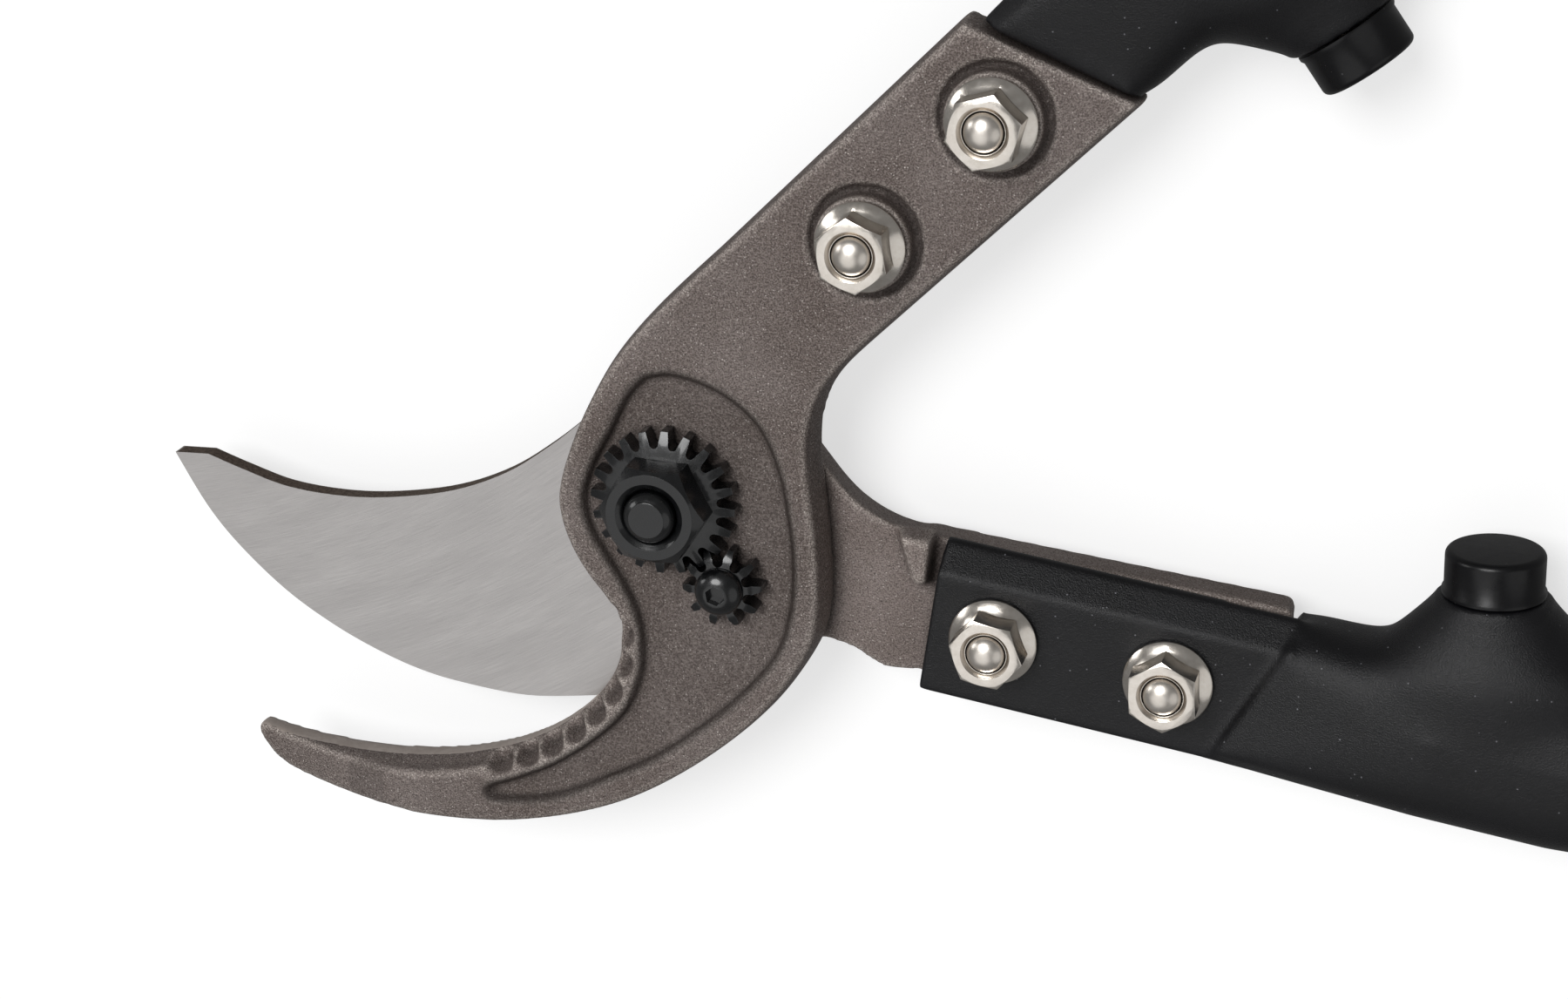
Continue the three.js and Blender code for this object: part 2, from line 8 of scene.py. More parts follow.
import json
import math

import bmesh
import bpy
import numpy as np
from mathutils import Matrix, Vector
from mathutils.kdtree import KDTree


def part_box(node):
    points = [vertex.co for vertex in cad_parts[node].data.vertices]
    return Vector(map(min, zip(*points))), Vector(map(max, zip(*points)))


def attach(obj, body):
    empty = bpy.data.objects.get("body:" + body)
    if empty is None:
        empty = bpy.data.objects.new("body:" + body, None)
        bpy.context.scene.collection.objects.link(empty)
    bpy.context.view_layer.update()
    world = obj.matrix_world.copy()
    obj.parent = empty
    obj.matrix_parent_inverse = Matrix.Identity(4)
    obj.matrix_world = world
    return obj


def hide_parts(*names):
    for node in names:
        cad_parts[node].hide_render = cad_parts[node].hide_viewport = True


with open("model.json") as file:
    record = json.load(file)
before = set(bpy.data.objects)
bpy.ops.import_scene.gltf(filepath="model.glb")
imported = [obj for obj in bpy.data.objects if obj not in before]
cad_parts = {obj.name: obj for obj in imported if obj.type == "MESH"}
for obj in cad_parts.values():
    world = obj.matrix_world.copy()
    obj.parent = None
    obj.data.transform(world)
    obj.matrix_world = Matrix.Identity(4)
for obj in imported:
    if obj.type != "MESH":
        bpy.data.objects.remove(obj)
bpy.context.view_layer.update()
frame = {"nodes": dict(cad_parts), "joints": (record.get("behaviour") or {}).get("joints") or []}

MM = 0.001
FULL_TURN = 2 * math.pi
GAP = 0.3


def corners(node):
    low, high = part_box(node)
    return low / MM, high / MM


def middle(node):
    low, high = corners(node)
    return (low + high) / 2


def joint_place(name):
    return next(Vector(j["pos_m"]) / MM for j in frame["joints"] if j["name"] == name)


# ---- levels and places read from the frame ----
HOOK_BACK = corners("hook")[0].z
POCKET_FLOOR = corners("pivot_nut")[0].z - GAP
HOOK_FRONT = POCKET_FLOOR + 2.2
BOSS_TOP = corners("hook")[1].z
MID = HOOK_BACK - GAP / 2
BLADE_FRONT = MID - GAP / 2
BLADE_BACK = BLADE_FRONT - 4
HUB_BACK = corners("pivot_bush")[0].z
TANG_BACK = corners("blade")[0].z
NUT_BACK, NUT_TOP = (corner.z for corner in corners("pivot_nut"))
GEAR_FRONT = NUT_BACK + 5.2
PINION_PLACE = joint_place("lock_pinion_turn")
PIVOT_RADIUS = 6
PLATE = 6.55
BUMPER_TIP = Vector((73, 39.9))
BUMPER_LEAN = 99.6
BUMPER_HEIGHT = 8.7
TANG_END = 33.2
TANG_SLOPE = 0.4


def arm_frame(arm):
    inner, outer = middle(f"{arm}_inner_nut"), middle(f"{arm}_outer_nut")
    along = outer - inner
    centre = (inner + outer) / 2
    place = Matrix.Translation((centre.x, centre.y, MID))
    place = place @ Matrix.Rotation(math.atan2(along.y, along.x), 4, "Z")
    if arm == "upper":
        place = place @ Matrix.Rotation(math.pi, 4, "X")
    return place


ARM = {arm: arm_frame(arm) for arm in ("upper", "lower")}
BODY = {"upper": "hook_arm", "lower": "blade_arm"}
PLATE_EDGE = {"upper": 15, "lower": 17.4}


def nut_places(arm):
    return [middle(f"{arm}_{which}_nut").xy for which in ("inner", "outer")]


def in_arm(arm, u, v):
    return (ARM[arm] @ Vector((u, v, 0))).xy


def tang_end(v):
    return TANG_END + TANG_SLOPE * v


# ---- shaping helpers ----
def spline(points, steps=6):
    """Even Catmull-Rom curve through the points."""
    knots = [Vector(p) for p in points]
    last = len(knots) - 1
    curve = []
    for i in range(last):
        before, here, there, after = (knots[min(max(j, 0), last)] for j in range(i - 1, i + 3))
        for k in range(steps):
            t = k / steps
            bend = 2 * before - 5 * here + 4 * there - after
            twist = 3 * here - before - 3 * there + after
            curve.append((2 * here + (there - before) * t + bend * t * t + twist * t**3) / 2)
    return curve + [knots[last]]


def evened(curve, passes=6):
    """The curve with its bends spread over their neighbours."""
    for _ in range(passes):
        inside = [(a + 2 * b + c) / 4 for a, b, c in zip(curve, curve[1:], curve[2:])]
        curve = [curve[0], *inside, curve[-1]]
    return curve


def slab(outline, low, high):
    """Outline of (x, y) corners raised from low to high."""
    bm = bmesh.new()
    base = bm.faces.new([bm.verts.new((x, y, low)) for x, y in outline])
    raised = bmesh.ops.extrude_face_region(bm, geom=[base])["geom"]
    top = [v for v in raised if isinstance(v, bmesh.types.BMVert)]
    bmesh.ops.translate(bm, vec=(0, 0, high - low), verts=top)
    bmesh.ops.recalc_face_normals(bm, faces=bm.faces)
    return bm


def turned(profile, segments=64):
    """Spins (radius, height) pairs round Z; they start and end on the axis, or close on themselves."""
    bm = bmesh.new()
    verts = [bm.verts.new((r, 0, z)) for r, z in profile]
    edges = [bm.edges.new(pair) for pair in zip(verts, verts[1:])]
    sweep = {"cent": (0, 0, 0), "axis": (0, 0, 1), "angle": FULL_TURN, "steps": segments}
    bmesh.ops.spin(bm, geom=verts + edges, use_merge=True, **sweep)
    bmesh.ops.remove_doubles(bm, verts=bm.verts, dist=1e-4)
    bmesh.ops.recalc_face_normals(bm, faces=bm.faces)
    return bm


def rod(radius, low, high, segments=64):
    return turned([(0, low), (radius, low), (radius, high), (0, high)], segments)


def arc(centre, across, up, stop, step):
    """Points of (radius, height) on an ellipse from 0 to stop degrees."""
    angles = [math.radians(k) for k in range(0, stop, step)]
    return [(centre[0] + across * math.cos(a), centre[1] + up * math.sin(a)) for a in angles]


def ring(inner, outer, low, high, segments=64):
    return turned([(inner, low), (outer, low), (outer, high), (inner, high), (inner, low)], segments)


def block(x0, x1, y0, y1, z0, z1):
    return slab([(x0, y0), (x1, y0), (x1, y1), (x0, y1)], z0, z1)


def hull(points):
    bm = bmesh.new()
    verts = [bm.verts.new(p) for p in points]
    made = bmesh.ops.convex_hull(bm, input=verts)
    bmesh.ops.delete(bm, geom=[v for v in made["geom_interior"] if isinstance(v, bmesh.types.BMVert)])
    bmesh.ops.recalc_face_normals(bm, faces=bm.faces)
    return bm


def moved(bm, *matrices):
    for matrix in matrices:
        bmesh.ops.transform(bm, matrix=matrix, verts=bm.verts)
    return bm


def shifted(bm, x, y, z=0):
    return moved(bm, Matrix.Translation((x, y, z)))


def rotated(bm, degrees, axis):
    return moved(bm, Matrix.Rotation(math.radians(degrees), 4, axis))


def merged(*parts):
    """One bmesh that holds all of them."""
    whole = parts[0]
    for part in parts[1:]:
        mesh = bpy.data.meshes.new("joined")
        part.to_mesh(mesh)
        part.free()
        whole.from_mesh(mesh)
        bpy.data.meshes.remove(mesh)
    return whole


def bench_object(bm):
    """A temporary object, in millimetres, for modifiers to work on."""
    mesh = bpy.data.meshes.new("bench")
    bm.to_mesh(mesh)
    bm.free()
    made = bpy.data.objects.new("bench", mesh)
    bpy.context.scene.collection.objects.link(made)
    return made


def taken_off(made, others=()):
    """The temporary object's shape with its modifiers applied, as a bmesh."""
    seen = made.evaluated_get(bpy.context.evaluated_depsgraph_get())
    mesh = bpy.data.meshes.new_from_object(seen)
    bm = bmesh.new()
    bm.from_mesh(mesh)
    bpy.data.meshes.remove(mesh)
    for used in [made, *others]:
        old = used.data
        bpy.data.objects.remove(used)
        bpy.data.meshes.remove(old)
    return bm


def combined(bm, tools, operation, solver="MANIFOLD"):
    body = bench_object(bm)
    cutters = [bench_object(tool) for tool in tools]
    for cutter in cutters:
        modifier = body.modifiers.new("combine", "BOOLEAN")
        modifier.operation = operation
        modifier.solver = solver
        modifier.object = cutter
    return taken_off(body, cutters)


def cut(bm, *tools):
    return combined(bm, tools, "DIFFERENCE")


def overlap(bm, *tools):
    return combined(bm, tools, "INTERSECT")


def union(bm, *tools):
    return combined(bm, tools, "UNION")


def forged_skin(bm, voxel):
    """One even skin over all the solids in bm."""
    body = bench_object(bm)
    modifier = body.modifiers.new("skin", "REMESH")
    modifier.mode = "VOXEL"
    modifier.voxel_size = voxel
    return taken_off(body)


def softened(bm, passes, keep=None):
    """Rounds every edge; vertices that keep(co) names stay where they are."""
    loose = [v for v in bm.verts if keep is None or not keep(v.co)]
    every_axis = {"use_axis_x": True, "use_axis_y": True, "use_axis_z": True}
    for _ in range(passes):
        bmesh.ops.smooth_vert(bm, verts=loose, factor=0.5, **every_axis)
    return bm


def hexagon(across_flats, low, high, chamfer=30, land=0.2):
    """Hexagon bar, its corners turned off at the chamfer angle; land is the flats' own share of it."""
    corner = across_flats / math.sqrt(3)
    bar = bmesh.new()
    bmesh.ops.create_cone(
        bar, cap_ends=True, segments=6, radius1=corner, radius2=corner, depth=high - low
    )
    shifted(bar, 0, 0, (low + high) / 2)
    inner = across_flats / 2 - land
    drop = (corner - inner) * math.tan(math.radians(chamfer))
    profile = [(0, low), (corner, low), (corner, high - drop), (inner, high), (0, high)]
    return overlap(bar, turned(profile, 96))


def piece(name, bm, material, body, slot, nodes=(), bevel=0.0, smooth_angle=38):
    """Finished piece in metres, riding on its body and standing for its CAD nodes."""
    bmesh.ops.scale(bm, vec=(MM, MM, MM), verts=bm.verts)
    mesh = bpy.data.meshes.new(name)
    bm.to_mesh(mesh)
    bm.free()
    mesh.shade_smooth()
    mesh.set_sharp_from_angle(angle=math.radians(smooth_angle))
    materials = material if isinstance(material, (list, tuple)) else [material]
    for finish in materials:
        mesh.materials.append(finish)
    made = bpy.data.objects.new(name, mesh)
    bpy.context.scene.collection.objects.link(made)
    if bevel:
        modifier = made.modifiers.new("broken_edges", "BEVEL")
        modifier.width = bevel * MM
        modifier.segments = 3
        modifier.limit_method = "ANGLE"
        modifier.angle_limit = math.radians(30)
        modifier.harden_normals = True
    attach(made, body)
    if nodes:
        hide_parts(*nodes)
    return made


# ---- material helpers ----
def linear(*shades):
    """Colour from everyday 0 to 255 values."""
    return tuple(((c / 255 + 0.055) / 1.055) ** 2.4 if c > 10 else c / 255 / 12.92 for c in shades) + (1,)


def add(tree, kind, inputs=None, **settings):
    """New node; an input is a value, or a socket to link from."""
    node = tree.nodes.new(kind)
    for name, value in settings.items():
        setattr(node, name, value)
    for name, value in (inputs or {}).items():
        if isinstance(value, bpy.types.NodeSocket):
            tree.links.new(value, node.inputs[name])
        else:
            node.inputs[name].default_value = value
    return node


def arithmetic(tree, operation, first, second, clamp=False):
    sum_node = add(tree, "ShaderNodeMath", {0: first, 1: second}, operation=operation, use_clamp=clamp)
    return sum_node.outputs[0]


def vector_math(tree, operation, first, second=None):
    """Outputs of a vector sum."""
    inputs = {0: first} if second is None else {0: first, 1: second}
    return add(tree, "ShaderNodeVectorMath", inputs, operation=operation).outputs


def ranged(tree, value, low, high, to_low=0.0, to_high=1.0):
    limits = {"Value": value, "From Min": low, "From Max": high, "To Min": to_low, "To Max": to_high}
    return add(tree, "ShaderNodeMapRange", limits).outputs["Result"]


def between(tree, mask, low, high):
    return ranged(tree, mask, 0, 1, low, high)


def blended(tree, share, first, second):
    mix = add(tree, "ShaderNodeMix", data_type="RGBA")
    for socket, value in ((0, share), (6, first), (7, second)):
        if isinstance(value, bpy.types.NodeSocket):
            tree.links.new(value, mix.inputs[socket])
        else:
            mix.inputs[socket].default_value = value
    return mix.outputs[2]


def tinted(tree, base, mask, share, colour):
    """Base with up to that share of the colour where the mask is 1."""
    return blended(tree, between(tree, mask, 0, share), base, colour)


def shader_group(name, inputs, outputs):
    """Empty node group with float inputs, and its input and output nodes."""
    tree = bpy.data.node_groups.new(name, "ShaderNodeTree")
    for label, value in inputs.items():
        kind = "NodeSocketVector" if isinstance(value, tuple) else "NodeSocketFloat"
        socket = tree.interface.new_socket(label, in_out="INPUT", socket_type=kind)
        socket.default_value = value
    for label in outputs:
        tree.interface.new_socket(label, in_out="OUTPUT", socket_type="NodeSocketFloat")
    return tree, tree.nodes.new("NodeGroupInput").outputs, tree.nodes.new("NodeGroupOutput").inputs


def object_place(tree):
    return add(tree, "ShaderNodeTexCoord").outputs["Object"]


def noise(tree, place, scale, detail=2.0, roughness=0.5):
    inputs = {"Vector": place, "Scale": scale, "Detail": detail, "Roughness": roughness}
    return add(tree, "ShaderNodeTexNoise", inputs).outputs["Fac"]


def grain_group():
    """Fine speckle: Mask is 0 to 1, sharper as Contrast rises."""
    tree, given, out = shader_group("grain", {"Scale": 1000.0, "Contrast": 0.2}, ["Mask"])
    fine = noise(tree, object_place(tree), given["Scale"], 3.0, 0.6)
    low = arithmetic(tree, "SUBTRACT", 0.5, given["Contrast"])
    high = arithmetic(tree, "ADD", 0.5, given["Contrast"])
    tree.links.new(ranged(tree, fine, low, high), out["Mask"])
    return tree


def fleck_group():
    """Sparse round specks: Share of the cells, each 1 / Scale wide, holds one."""
    tree, given, out = shader_group("flecks", {"Scale": 1400.0, "Share": 0.2}, ["Mask"])
    inputs = {"Vector": object_place(tree), "Scale": given["Scale"]}
    cells = add(tree, "ShaderNodeTexVoronoi", inputs).outputs
    dot = ranged(tree, cells["Distance"], 0.3, 0.16)
    picked = add(tree, "ShaderNodeSeparateColor", {0: cells["Color"]}).outputs[0]
    chosen = arithmetic(tree, "LESS_THAN", picked, given["Share"])
    tree.links.new(arithmetic(tree, "MULTIPLY", dot, chosen), out["Mask"])
    return tree


def edge_wear_group():
    """Mask of convex edges within Radius, broken up by noise of size Scale."""
    start = {"Radius": 0.001, "Scale": 900.0, "Gain": 6.0}
    tree, given, out = shader_group("edge_wear", start, ["Mask"])
    bevel = add(tree, "ShaderNodeBevel", {"Radius": given["Radius"]}, samples=6)
    flat = add(tree, "ShaderNodeNewGeometry").outputs["Normal"]
    facing = vector_math(tree, "DOT_PRODUCT", bevel.outputs["Normal"], flat)["Value"]
    turned_by = arithmetic(tree, "SUBTRACT", 1.0, facing)
    edge = arithmetic(tree, "MULTIPLY", turned_by, given["Gain"], clamp=True)
    reach = {"Distance": given["Radius"]}
    open_side = add(tree, "ShaderNodeAmbientOcclusion", reach, samples=6, inside=True)
    convex = ranged(tree, open_side.outputs["AO"], 0.95, 0.6)
    broken = ranged(tree, noise(tree, object_place(tree), given["Scale"]), 0.35, 0.62)
    worn = arithmetic(tree, "MULTIPLY", edge, broken)
    tree.links.new(arithmetic(tree, "MULTIPLY", worn, convex), out["Mask"])
    return tree


def crevice_group():
    """Mask that is 1 in corners and recesses within Reach."""
    tree, given, out = shader_group("crevice", {"Reach": 0.003, "Depth": 0.6}, ["Mask"])
    shade = add(tree, "ShaderNodeAmbientOcclusion", {"Distance": given["Reach"]}, samples=8)
    deepest = arithmetic(tree, "SUBTRACT", 0.9, given["Depth"])
    tree.links.new(ranged(tree, shade.outputs["AO"], 0.9, deepest), out["Mask"])
    return tree


def grind_group():
    """Grinding marks: arcs about Centre, with Spacing marks per metre outwards."""
    start = {"Centre": (-0.15, 0.165, 0.0), "Spacing": 2200.0, "Length": 40.0}
    tree, given, out = shader_group("grind_marks", start, ["Fine", "Broad"])
    offset = vector_math(tree, "SUBTRACT", object_place(tree), given["Centre"])[0]
    flat = vector_math(tree, "MULTIPLY", offset, (1, 1, 0))[0]
    reach = vector_math(tree, "LENGTH", flat)["Value"]
    split = add(tree, "ShaderNodeSeparateXYZ", {0: flat}).outputs
    turn = arithmetic(tree, "ARCTAN2", split["Y"], split["X"])
    lane = arithmetic(tree, "MULTIPLY", reach, given["Spacing"])
    along = arithmetic(tree, "MULTIPLY", turn, given["Length"])
    marks = add(tree, "ShaderNodeCombineXYZ", {0: lane, 1: along}).outputs[0]
    tree.links.new(ranged(tree, noise(tree, marks, 1.0, 3.0, 0.7), 0.25, 0.75), out["Fine"])
    wide = vector_math(tree, "MULTIPLY", marks, (0.12, 0.5, 0))[0]
    tree.links.new(ranged(tree, noise(tree, wide, 1.0, 1.0), 0.3, 0.7), out["Broad"])
    return tree


GRAIN = grain_group()
FLECKS = fleck_group()
EDGE_WEAR = edge_wear_group()
CREVICE = crevice_group()
GRIND = grind_group()


def use(tree, group, output, **inputs):
    node = tree.nodes.new("ShaderNodeGroup")
    node.node_tree = group
    for name, value in inputs.items():
        node.inputs[name].default_value = value
    return node.outputs[output]


def new_material(name, **fixed):
    """Material and its node tree, with the uniform values set on the shader's own sockets."""
    material = bpy.data.materials.new(name)
    material.use_nodes = True
    for label, value in fixed.items():
        socket = label.replace("_", " ").title().replace("Ior", "IOR")
        shader_of(material)[socket].default_value = value
    return material, material.node_tree


def shader_of(material):
    return material.node_tree.nodes["Principled BSDF"].inputs


def dressed(material, base, roughness, normal):
    """The material, with its colour, roughness and normal linked."""
    for label, socket in (("Base Color", base), ("Roughness", roughness), ("Normal", normal)):
        material.node_tree.links.new(socket, shader_of(material)[label])
    return material


def relief(tree, height, distance, strength=1.0, over=None):
    inputs = {"Height": height, "Distance": distance, "Strength": strength}
    if over is not None:
        inputs["Normal"] = over
    return add(tree, "ShaderNodeBump", inputs).outputs["Normal"]


# ---- materials ----
def forged_steel(name, tone):
    """Shot-blasted brown-grey forging with grain; its sparkle is painted glints, its pale rims part edge
    wear and part painted highlight, and its darker recesses painted shade.
    """
    material, tree = new_material(name)
    place = object_place(tree)
    grain = use(tree, GRAIN, "Mask", Scale=2900.0, Contrast=0.13)
    scale = use(tree, GRAIN, "Mask", Scale=900.0, Contrast=0.2)
    cloud = ranged(tree, noise(tree, place, 45.0, 4.0), 0.3, 0.7)
    dark = linear(108 * tone, 97 * tone, 92 * tone)
    base = blended(tree, cloud, dark, linear(136 * tone, 126 * tone, 122 * tone))
    base = tinted(tree, base, scale, 0.3, linear(78, 67, 61))
    base = blended(tree, ranged(tree, grain, 0.5, 1, 0, 0.42), base, linear(172, 162, 156))
    base = blended(tree, ranged(tree, grain, 0.5, 0, 0, 0.5), base, linear(48, 40, 36))
    pits = use(tree, FLECKS, "Mask", Scale=1300.0, Share=0.12)
    base = tinted(tree, base, pits, 0.6, linear(34, 27, 24))
    # painted glints: bright specks that stand for light sparkling on the grain
    painted_glints = use(tree, FLECKS, "Mask", Scale=1900.0, Share=0.16)
    base = tinted(tree, base, painted_glints, 0.7, linear(230, 222, 216))
    bend = add(tree, "ShaderNodeAttribute", attribute_name="bend").outputs["Fac"]
    broken = ranged(tree, grain, 0.25, 1, 0.2, 1)
    # pale convex rims: part edge wear, part painted highlight on edges that catch the light
    rim = arithmetic(tree, "MULTIPLY", ranged(tree, bend, 0.012, 0.062), broken)
    base = tinted(tree, base, rim, 0.8, linear(214, 204, 196))
    # painted shade: recesses, concave corners and the lines round the pocket wall and nut seats are
    # darkened
    recess = use(tree, CREVICE, "Mask", Reach=0.0035, Depth=0.4)
    corner = ranged(tree, bend, -0.012, -0.06, 0, 0.75)
    line = add(tree, "ShaderNodeAttribute", attribute_name="painted_shade").outputs["Fac"]
    painted_shade = arithmetic(tree, "MAXIMUM", arithmetic(tree, "MULTIPLY", recess, 0.6), line)
    painted_shade = arithmetic(tree, "MAXIMUM", painted_shade, corner)
    base = tinted(tree, base, painted_shade, 0.95, linear(34, 25, 20))
    tree.links.new(between(tree, painted_shade, 0.6, 0.2), shader_of(material)["Metallic"])
    grained = relief(tree, grain, 0.00018, 0.6, relief(tree, scale, 0.0002, 0.4))
    return dressed(material, base, between(tree, grain, 0.6, 0.42), grained)


def ground_land():
    """Ground strip along the inside of the jaw, where the blade passes; its colour is lighter than ground
    steel to paint light onto this wall.
    """
    material, tree = new_material("ground_land", metallic=0.3)
    marks = use(tree, GRAIN, "Mask", Scale=900.0, Contrast=0.3)
    cloud = use(tree, GRAIN, "Mask", Scale=160.0, Contrast=0.2)
    # colours lighter than the ground steel itself: painted light on this wall
    base = blended(tree, marks, linear(176, 164, 157), linear(202, 192, 184))
    base = tinted(tree, base, cloud, 0.5, linear(150, 136, 127))
    return dressed(material, base, between(tree, marks, 0.5, 0.38), relief(tree, marks, 0.00006, 0.5))


def ground_steel():
    """Surface-ground blade steel with curved grinding marks."""
    material, tree = new_material("ground_steel", metallic=0.8)
    fine = use(tree, GRIND, "Fine", Spacing=3400.0, Length=26.0)
    broad = use(tree, GRIND, "Broad", Spacing=1700.0, Length=16.0)
    base = blended(tree, fine, linear(172, 169, 168), linear(189, 186, 184))
    base = tinted(tree, base, broad, 0.35, linear(158, 155, 154))
    return dressed(material, base, between(tree, fine, 0.44, 0.32), relief(tree, fine, 0.00004, 0.5))


def forged_spine():
    """Dark scale left on the blade's spine, with bright nicks where it meets the ground face."""
    material, tree = new_material("forged_spine", metallic=0.5)
    grain = use(tree, GRAIN, "Mask", Scale=1600.0, Contrast=0.2)
    base = blended(tree, grain, linear(74, 62, 54), linear(120, 104, 92))
    nicks = use(tree, EDGE_WEAR, "Mask", Radius=0.0006, Scale=500.0, Gain=9.0)
    base = blended(tree, nicks, base, linear(220, 216, 212))
    return dressed(material, base, between(tree, grain, 0.6, 0.42), relief(tree, grain, 0.0001, 0.5))


def blackened_steel():
    """Oiled black oxide on the pivot's fasteners."""
    coat = {"coat_weight": 0.45, "coat_roughness": 0.08}
    material, tree = new_material("blackened_steel", metallic=0.2, **coat)
    mottle = use(tree, GRAIN, "Mask", Scale=700.0, Contrast=0.25)
    wear = use(tree, EDGE_WEAR, "Mask", Radius=0.0004, Scale=900.0, Gain=3.0)
    base = blended(tree, mottle, linear(8, 9, 10), linear(16, 17, 19))
    base = tinted(tree, base, wear, 0.5, linear(110, 112, 116))
    return dressed(material, base, between(tree, mottle, 0.22, 0.34), relief(tree, mottle, 0.00003, 0.4))


def plated_steel(name, smoothest, roughest):
    """Bright nickel, faintly warm, with polishing swirl and small handling marks; its crevices are
    darkened brown, part dirt and part painted shade.
    """
    material, tree = new_material(name, metallic=1.0)
    mottle = use(tree, GRAIN, "Mask", Scale=500.0, Contrast=0.3)
    # crevices darkened brown: part dirt, part painted shade
    crevice_dirt_and_shade = use(tree, CREVICE, "Mask", Reach=0.0016, Depth=0.5)
    base = blended(tree, mottle, linear(214, 206, 196), linear(234, 228, 220))
    base = tinted(tree, base, crevice_dirt_and_shade, 0.6, linear(96, 82, 66))
    roughness = between(tree, mottle, smoothest, roughest)
    return dressed(material, base, roughness, relief(tree, mottle, 0.00003, 0.25))


def coated_black():
    """Finely textured powder coat of the sockets and caps; its pale worn edges are part wear and part
    painted highlight.
    """
    material, tree = new_material("coated_black", specular_ior_level=0.36)
    texture = use(tree, GRAIN, "Mask", Scale=3200.0, Contrast=0.2)
    cloud = use(tree, GRAIN, "Mask", Scale=60.0, Contrast=0.2)
    dust = use(tree, FLECKS, "Mask", Scale=1500.0, Share=0.015)
    # pale worn edges: part wear, part painted highlight along the rounded bevels
    wear = use(tree, EDGE_WEAR, "Mask", Radius=0.0014, Scale=2600.0, Gain=4.0)
    base = blended(tree, cloud, linear(9, 9, 11), linear(15, 15, 18))
    base = tinted(tree, base, dust, 0.6, linear(140, 140, 146))
    base = tinted(tree, base, wear, 0.5, linear(112, 114, 122))
    return dressed(material, base, between(tree, texture, 0.42, 0.28), relief(tree, texture, 0.0001, 0.6))


def tube_black():
    """Smoother satin coat of the handle tubes, with lengthwise drawing marks."""
    material, tree = new_material("tube_black", specular_ior_level=0.4)
    texture = use(tree, GRAIN, "Mask", Scale=900.0, Contrast=0.25)
    scuffs = use(tree, FLECKS, "Mask", Scale=420.0, Share=0.04)
    base = blended(tree, between(tree, scuffs, 0, 0.3), linear(13, 13, 15), linear(44, 44, 47))
    return dressed(material, base, between(tree, texture, 0.42, 0.3), relief(tree, texture, 0.00005, 0.4))


def bumper_rubber():
    """Glossy moulded rubber of the stop bumpers."""
    material, tree = new_material("bumper_rubber", specular_ior_level=0.32)
    texture = use(tree, GRAIN, "Mask", Scale=500.0, Contrast=0.3)
    dust = use(tree, FLECKS, "Mask", Scale=1300.0, Share=0.012)
    base = blended(tree, between(tree, dust, 0, 0.3), linear(10, 10, 12), linear(100, 100, 102))
    return dressed(material, base, between(tree, texture, 0.24, 0.36), relief(tree, texture, 0.00004, 0.3))


def grip_rubber():
    """Matt ribbed grip, dusty in its grooves and rubbed smooth on its ribs."""
    material, tree = new_material("grip_rubber", specular_ior_level=0.4)
    texture = use(tree, GRAIN, "Mask", Scale=1800.0, Contrast=0.2)
    groove = use(tree, CREVICE, "Mask", Reach=0.002, Depth=0.5)
    rub = use(tree, EDGE_WEAR, "Mask", Radius=0.0006, Scale=400.0, Gain=3.0)
    base = blended(tree, texture, linear(26, 26, 28), linear(36, 36, 38))
    base = tinted(tree, base, groove, 0.3, linear(74, 70, 64))
    polish = between(tree, rub, 0, 0.2)
    roughness = arithmetic(tree, "SUBTRACT", between(tree, texture, 0.8, 0.62), polish)
    return dressed(material, base, roughness, relief(tree, texture, 0.00015, 0.6))


def moulded_plastic():
    """Satin moulded collars and end caps."""
    material, tree = new_material("moulded_plastic")
    texture = use(tree, GRAIN, "Mask", Scale=1300.0, Contrast=0.25)
    wear = use(tree, EDGE_WEAR, "Mask", Radius=0.0008, Scale=700.0, Gain=3.0)
    base = blended(tree, between(tree, wear, 0, 0.35), linear(28, 28, 30), linear(96, 96, 98))
    return dressed(material, base, between(tree, texture, 0.5, 0.36), relief(tree, texture, 0.00007, 0.4))


def bronze():
    """Turned bearing bronze."""
    material, tree = new_material("bronze", metallic=1.0)
    mottle = use(tree, GRAIN, "Mask", Scale=600.0, Contrast=0.25)
    base = blended(tree, mottle, linear(150, 112, 60), linear(186, 146, 88))
    return dressed(material, base, between(tree, mottle, 0.3, 0.45), relief(tree, mottle, 0.00004, 0.3))


FORGED = forged_steel("forged_steel", 1.04)
# the tang's copy is lighter: painted light on the lower-lying tang, which sits deeper in shade
FORGED_TANG_PAINTED_LIGHTER = forged_steel("forged_steel_tang_painted_lighter", 1.2)
LAND = ground_land()
GROUND = ground_steel()
SPINE = forged_spine()
BLACKENED = blackened_steel()
PLATED = plated_steel("plated_steel", 0.15, 0.25)
PLATED_BOLT = plated_steel("plated_bolt_steel", 0.28, 0.38)
COATED = coated_black()
TUBE = tube_black()
BUMPER = bumper_rubber()
GRIP = grip_rubber()
PLASTIC = moulded_plastic()
BRONZE = bronze()

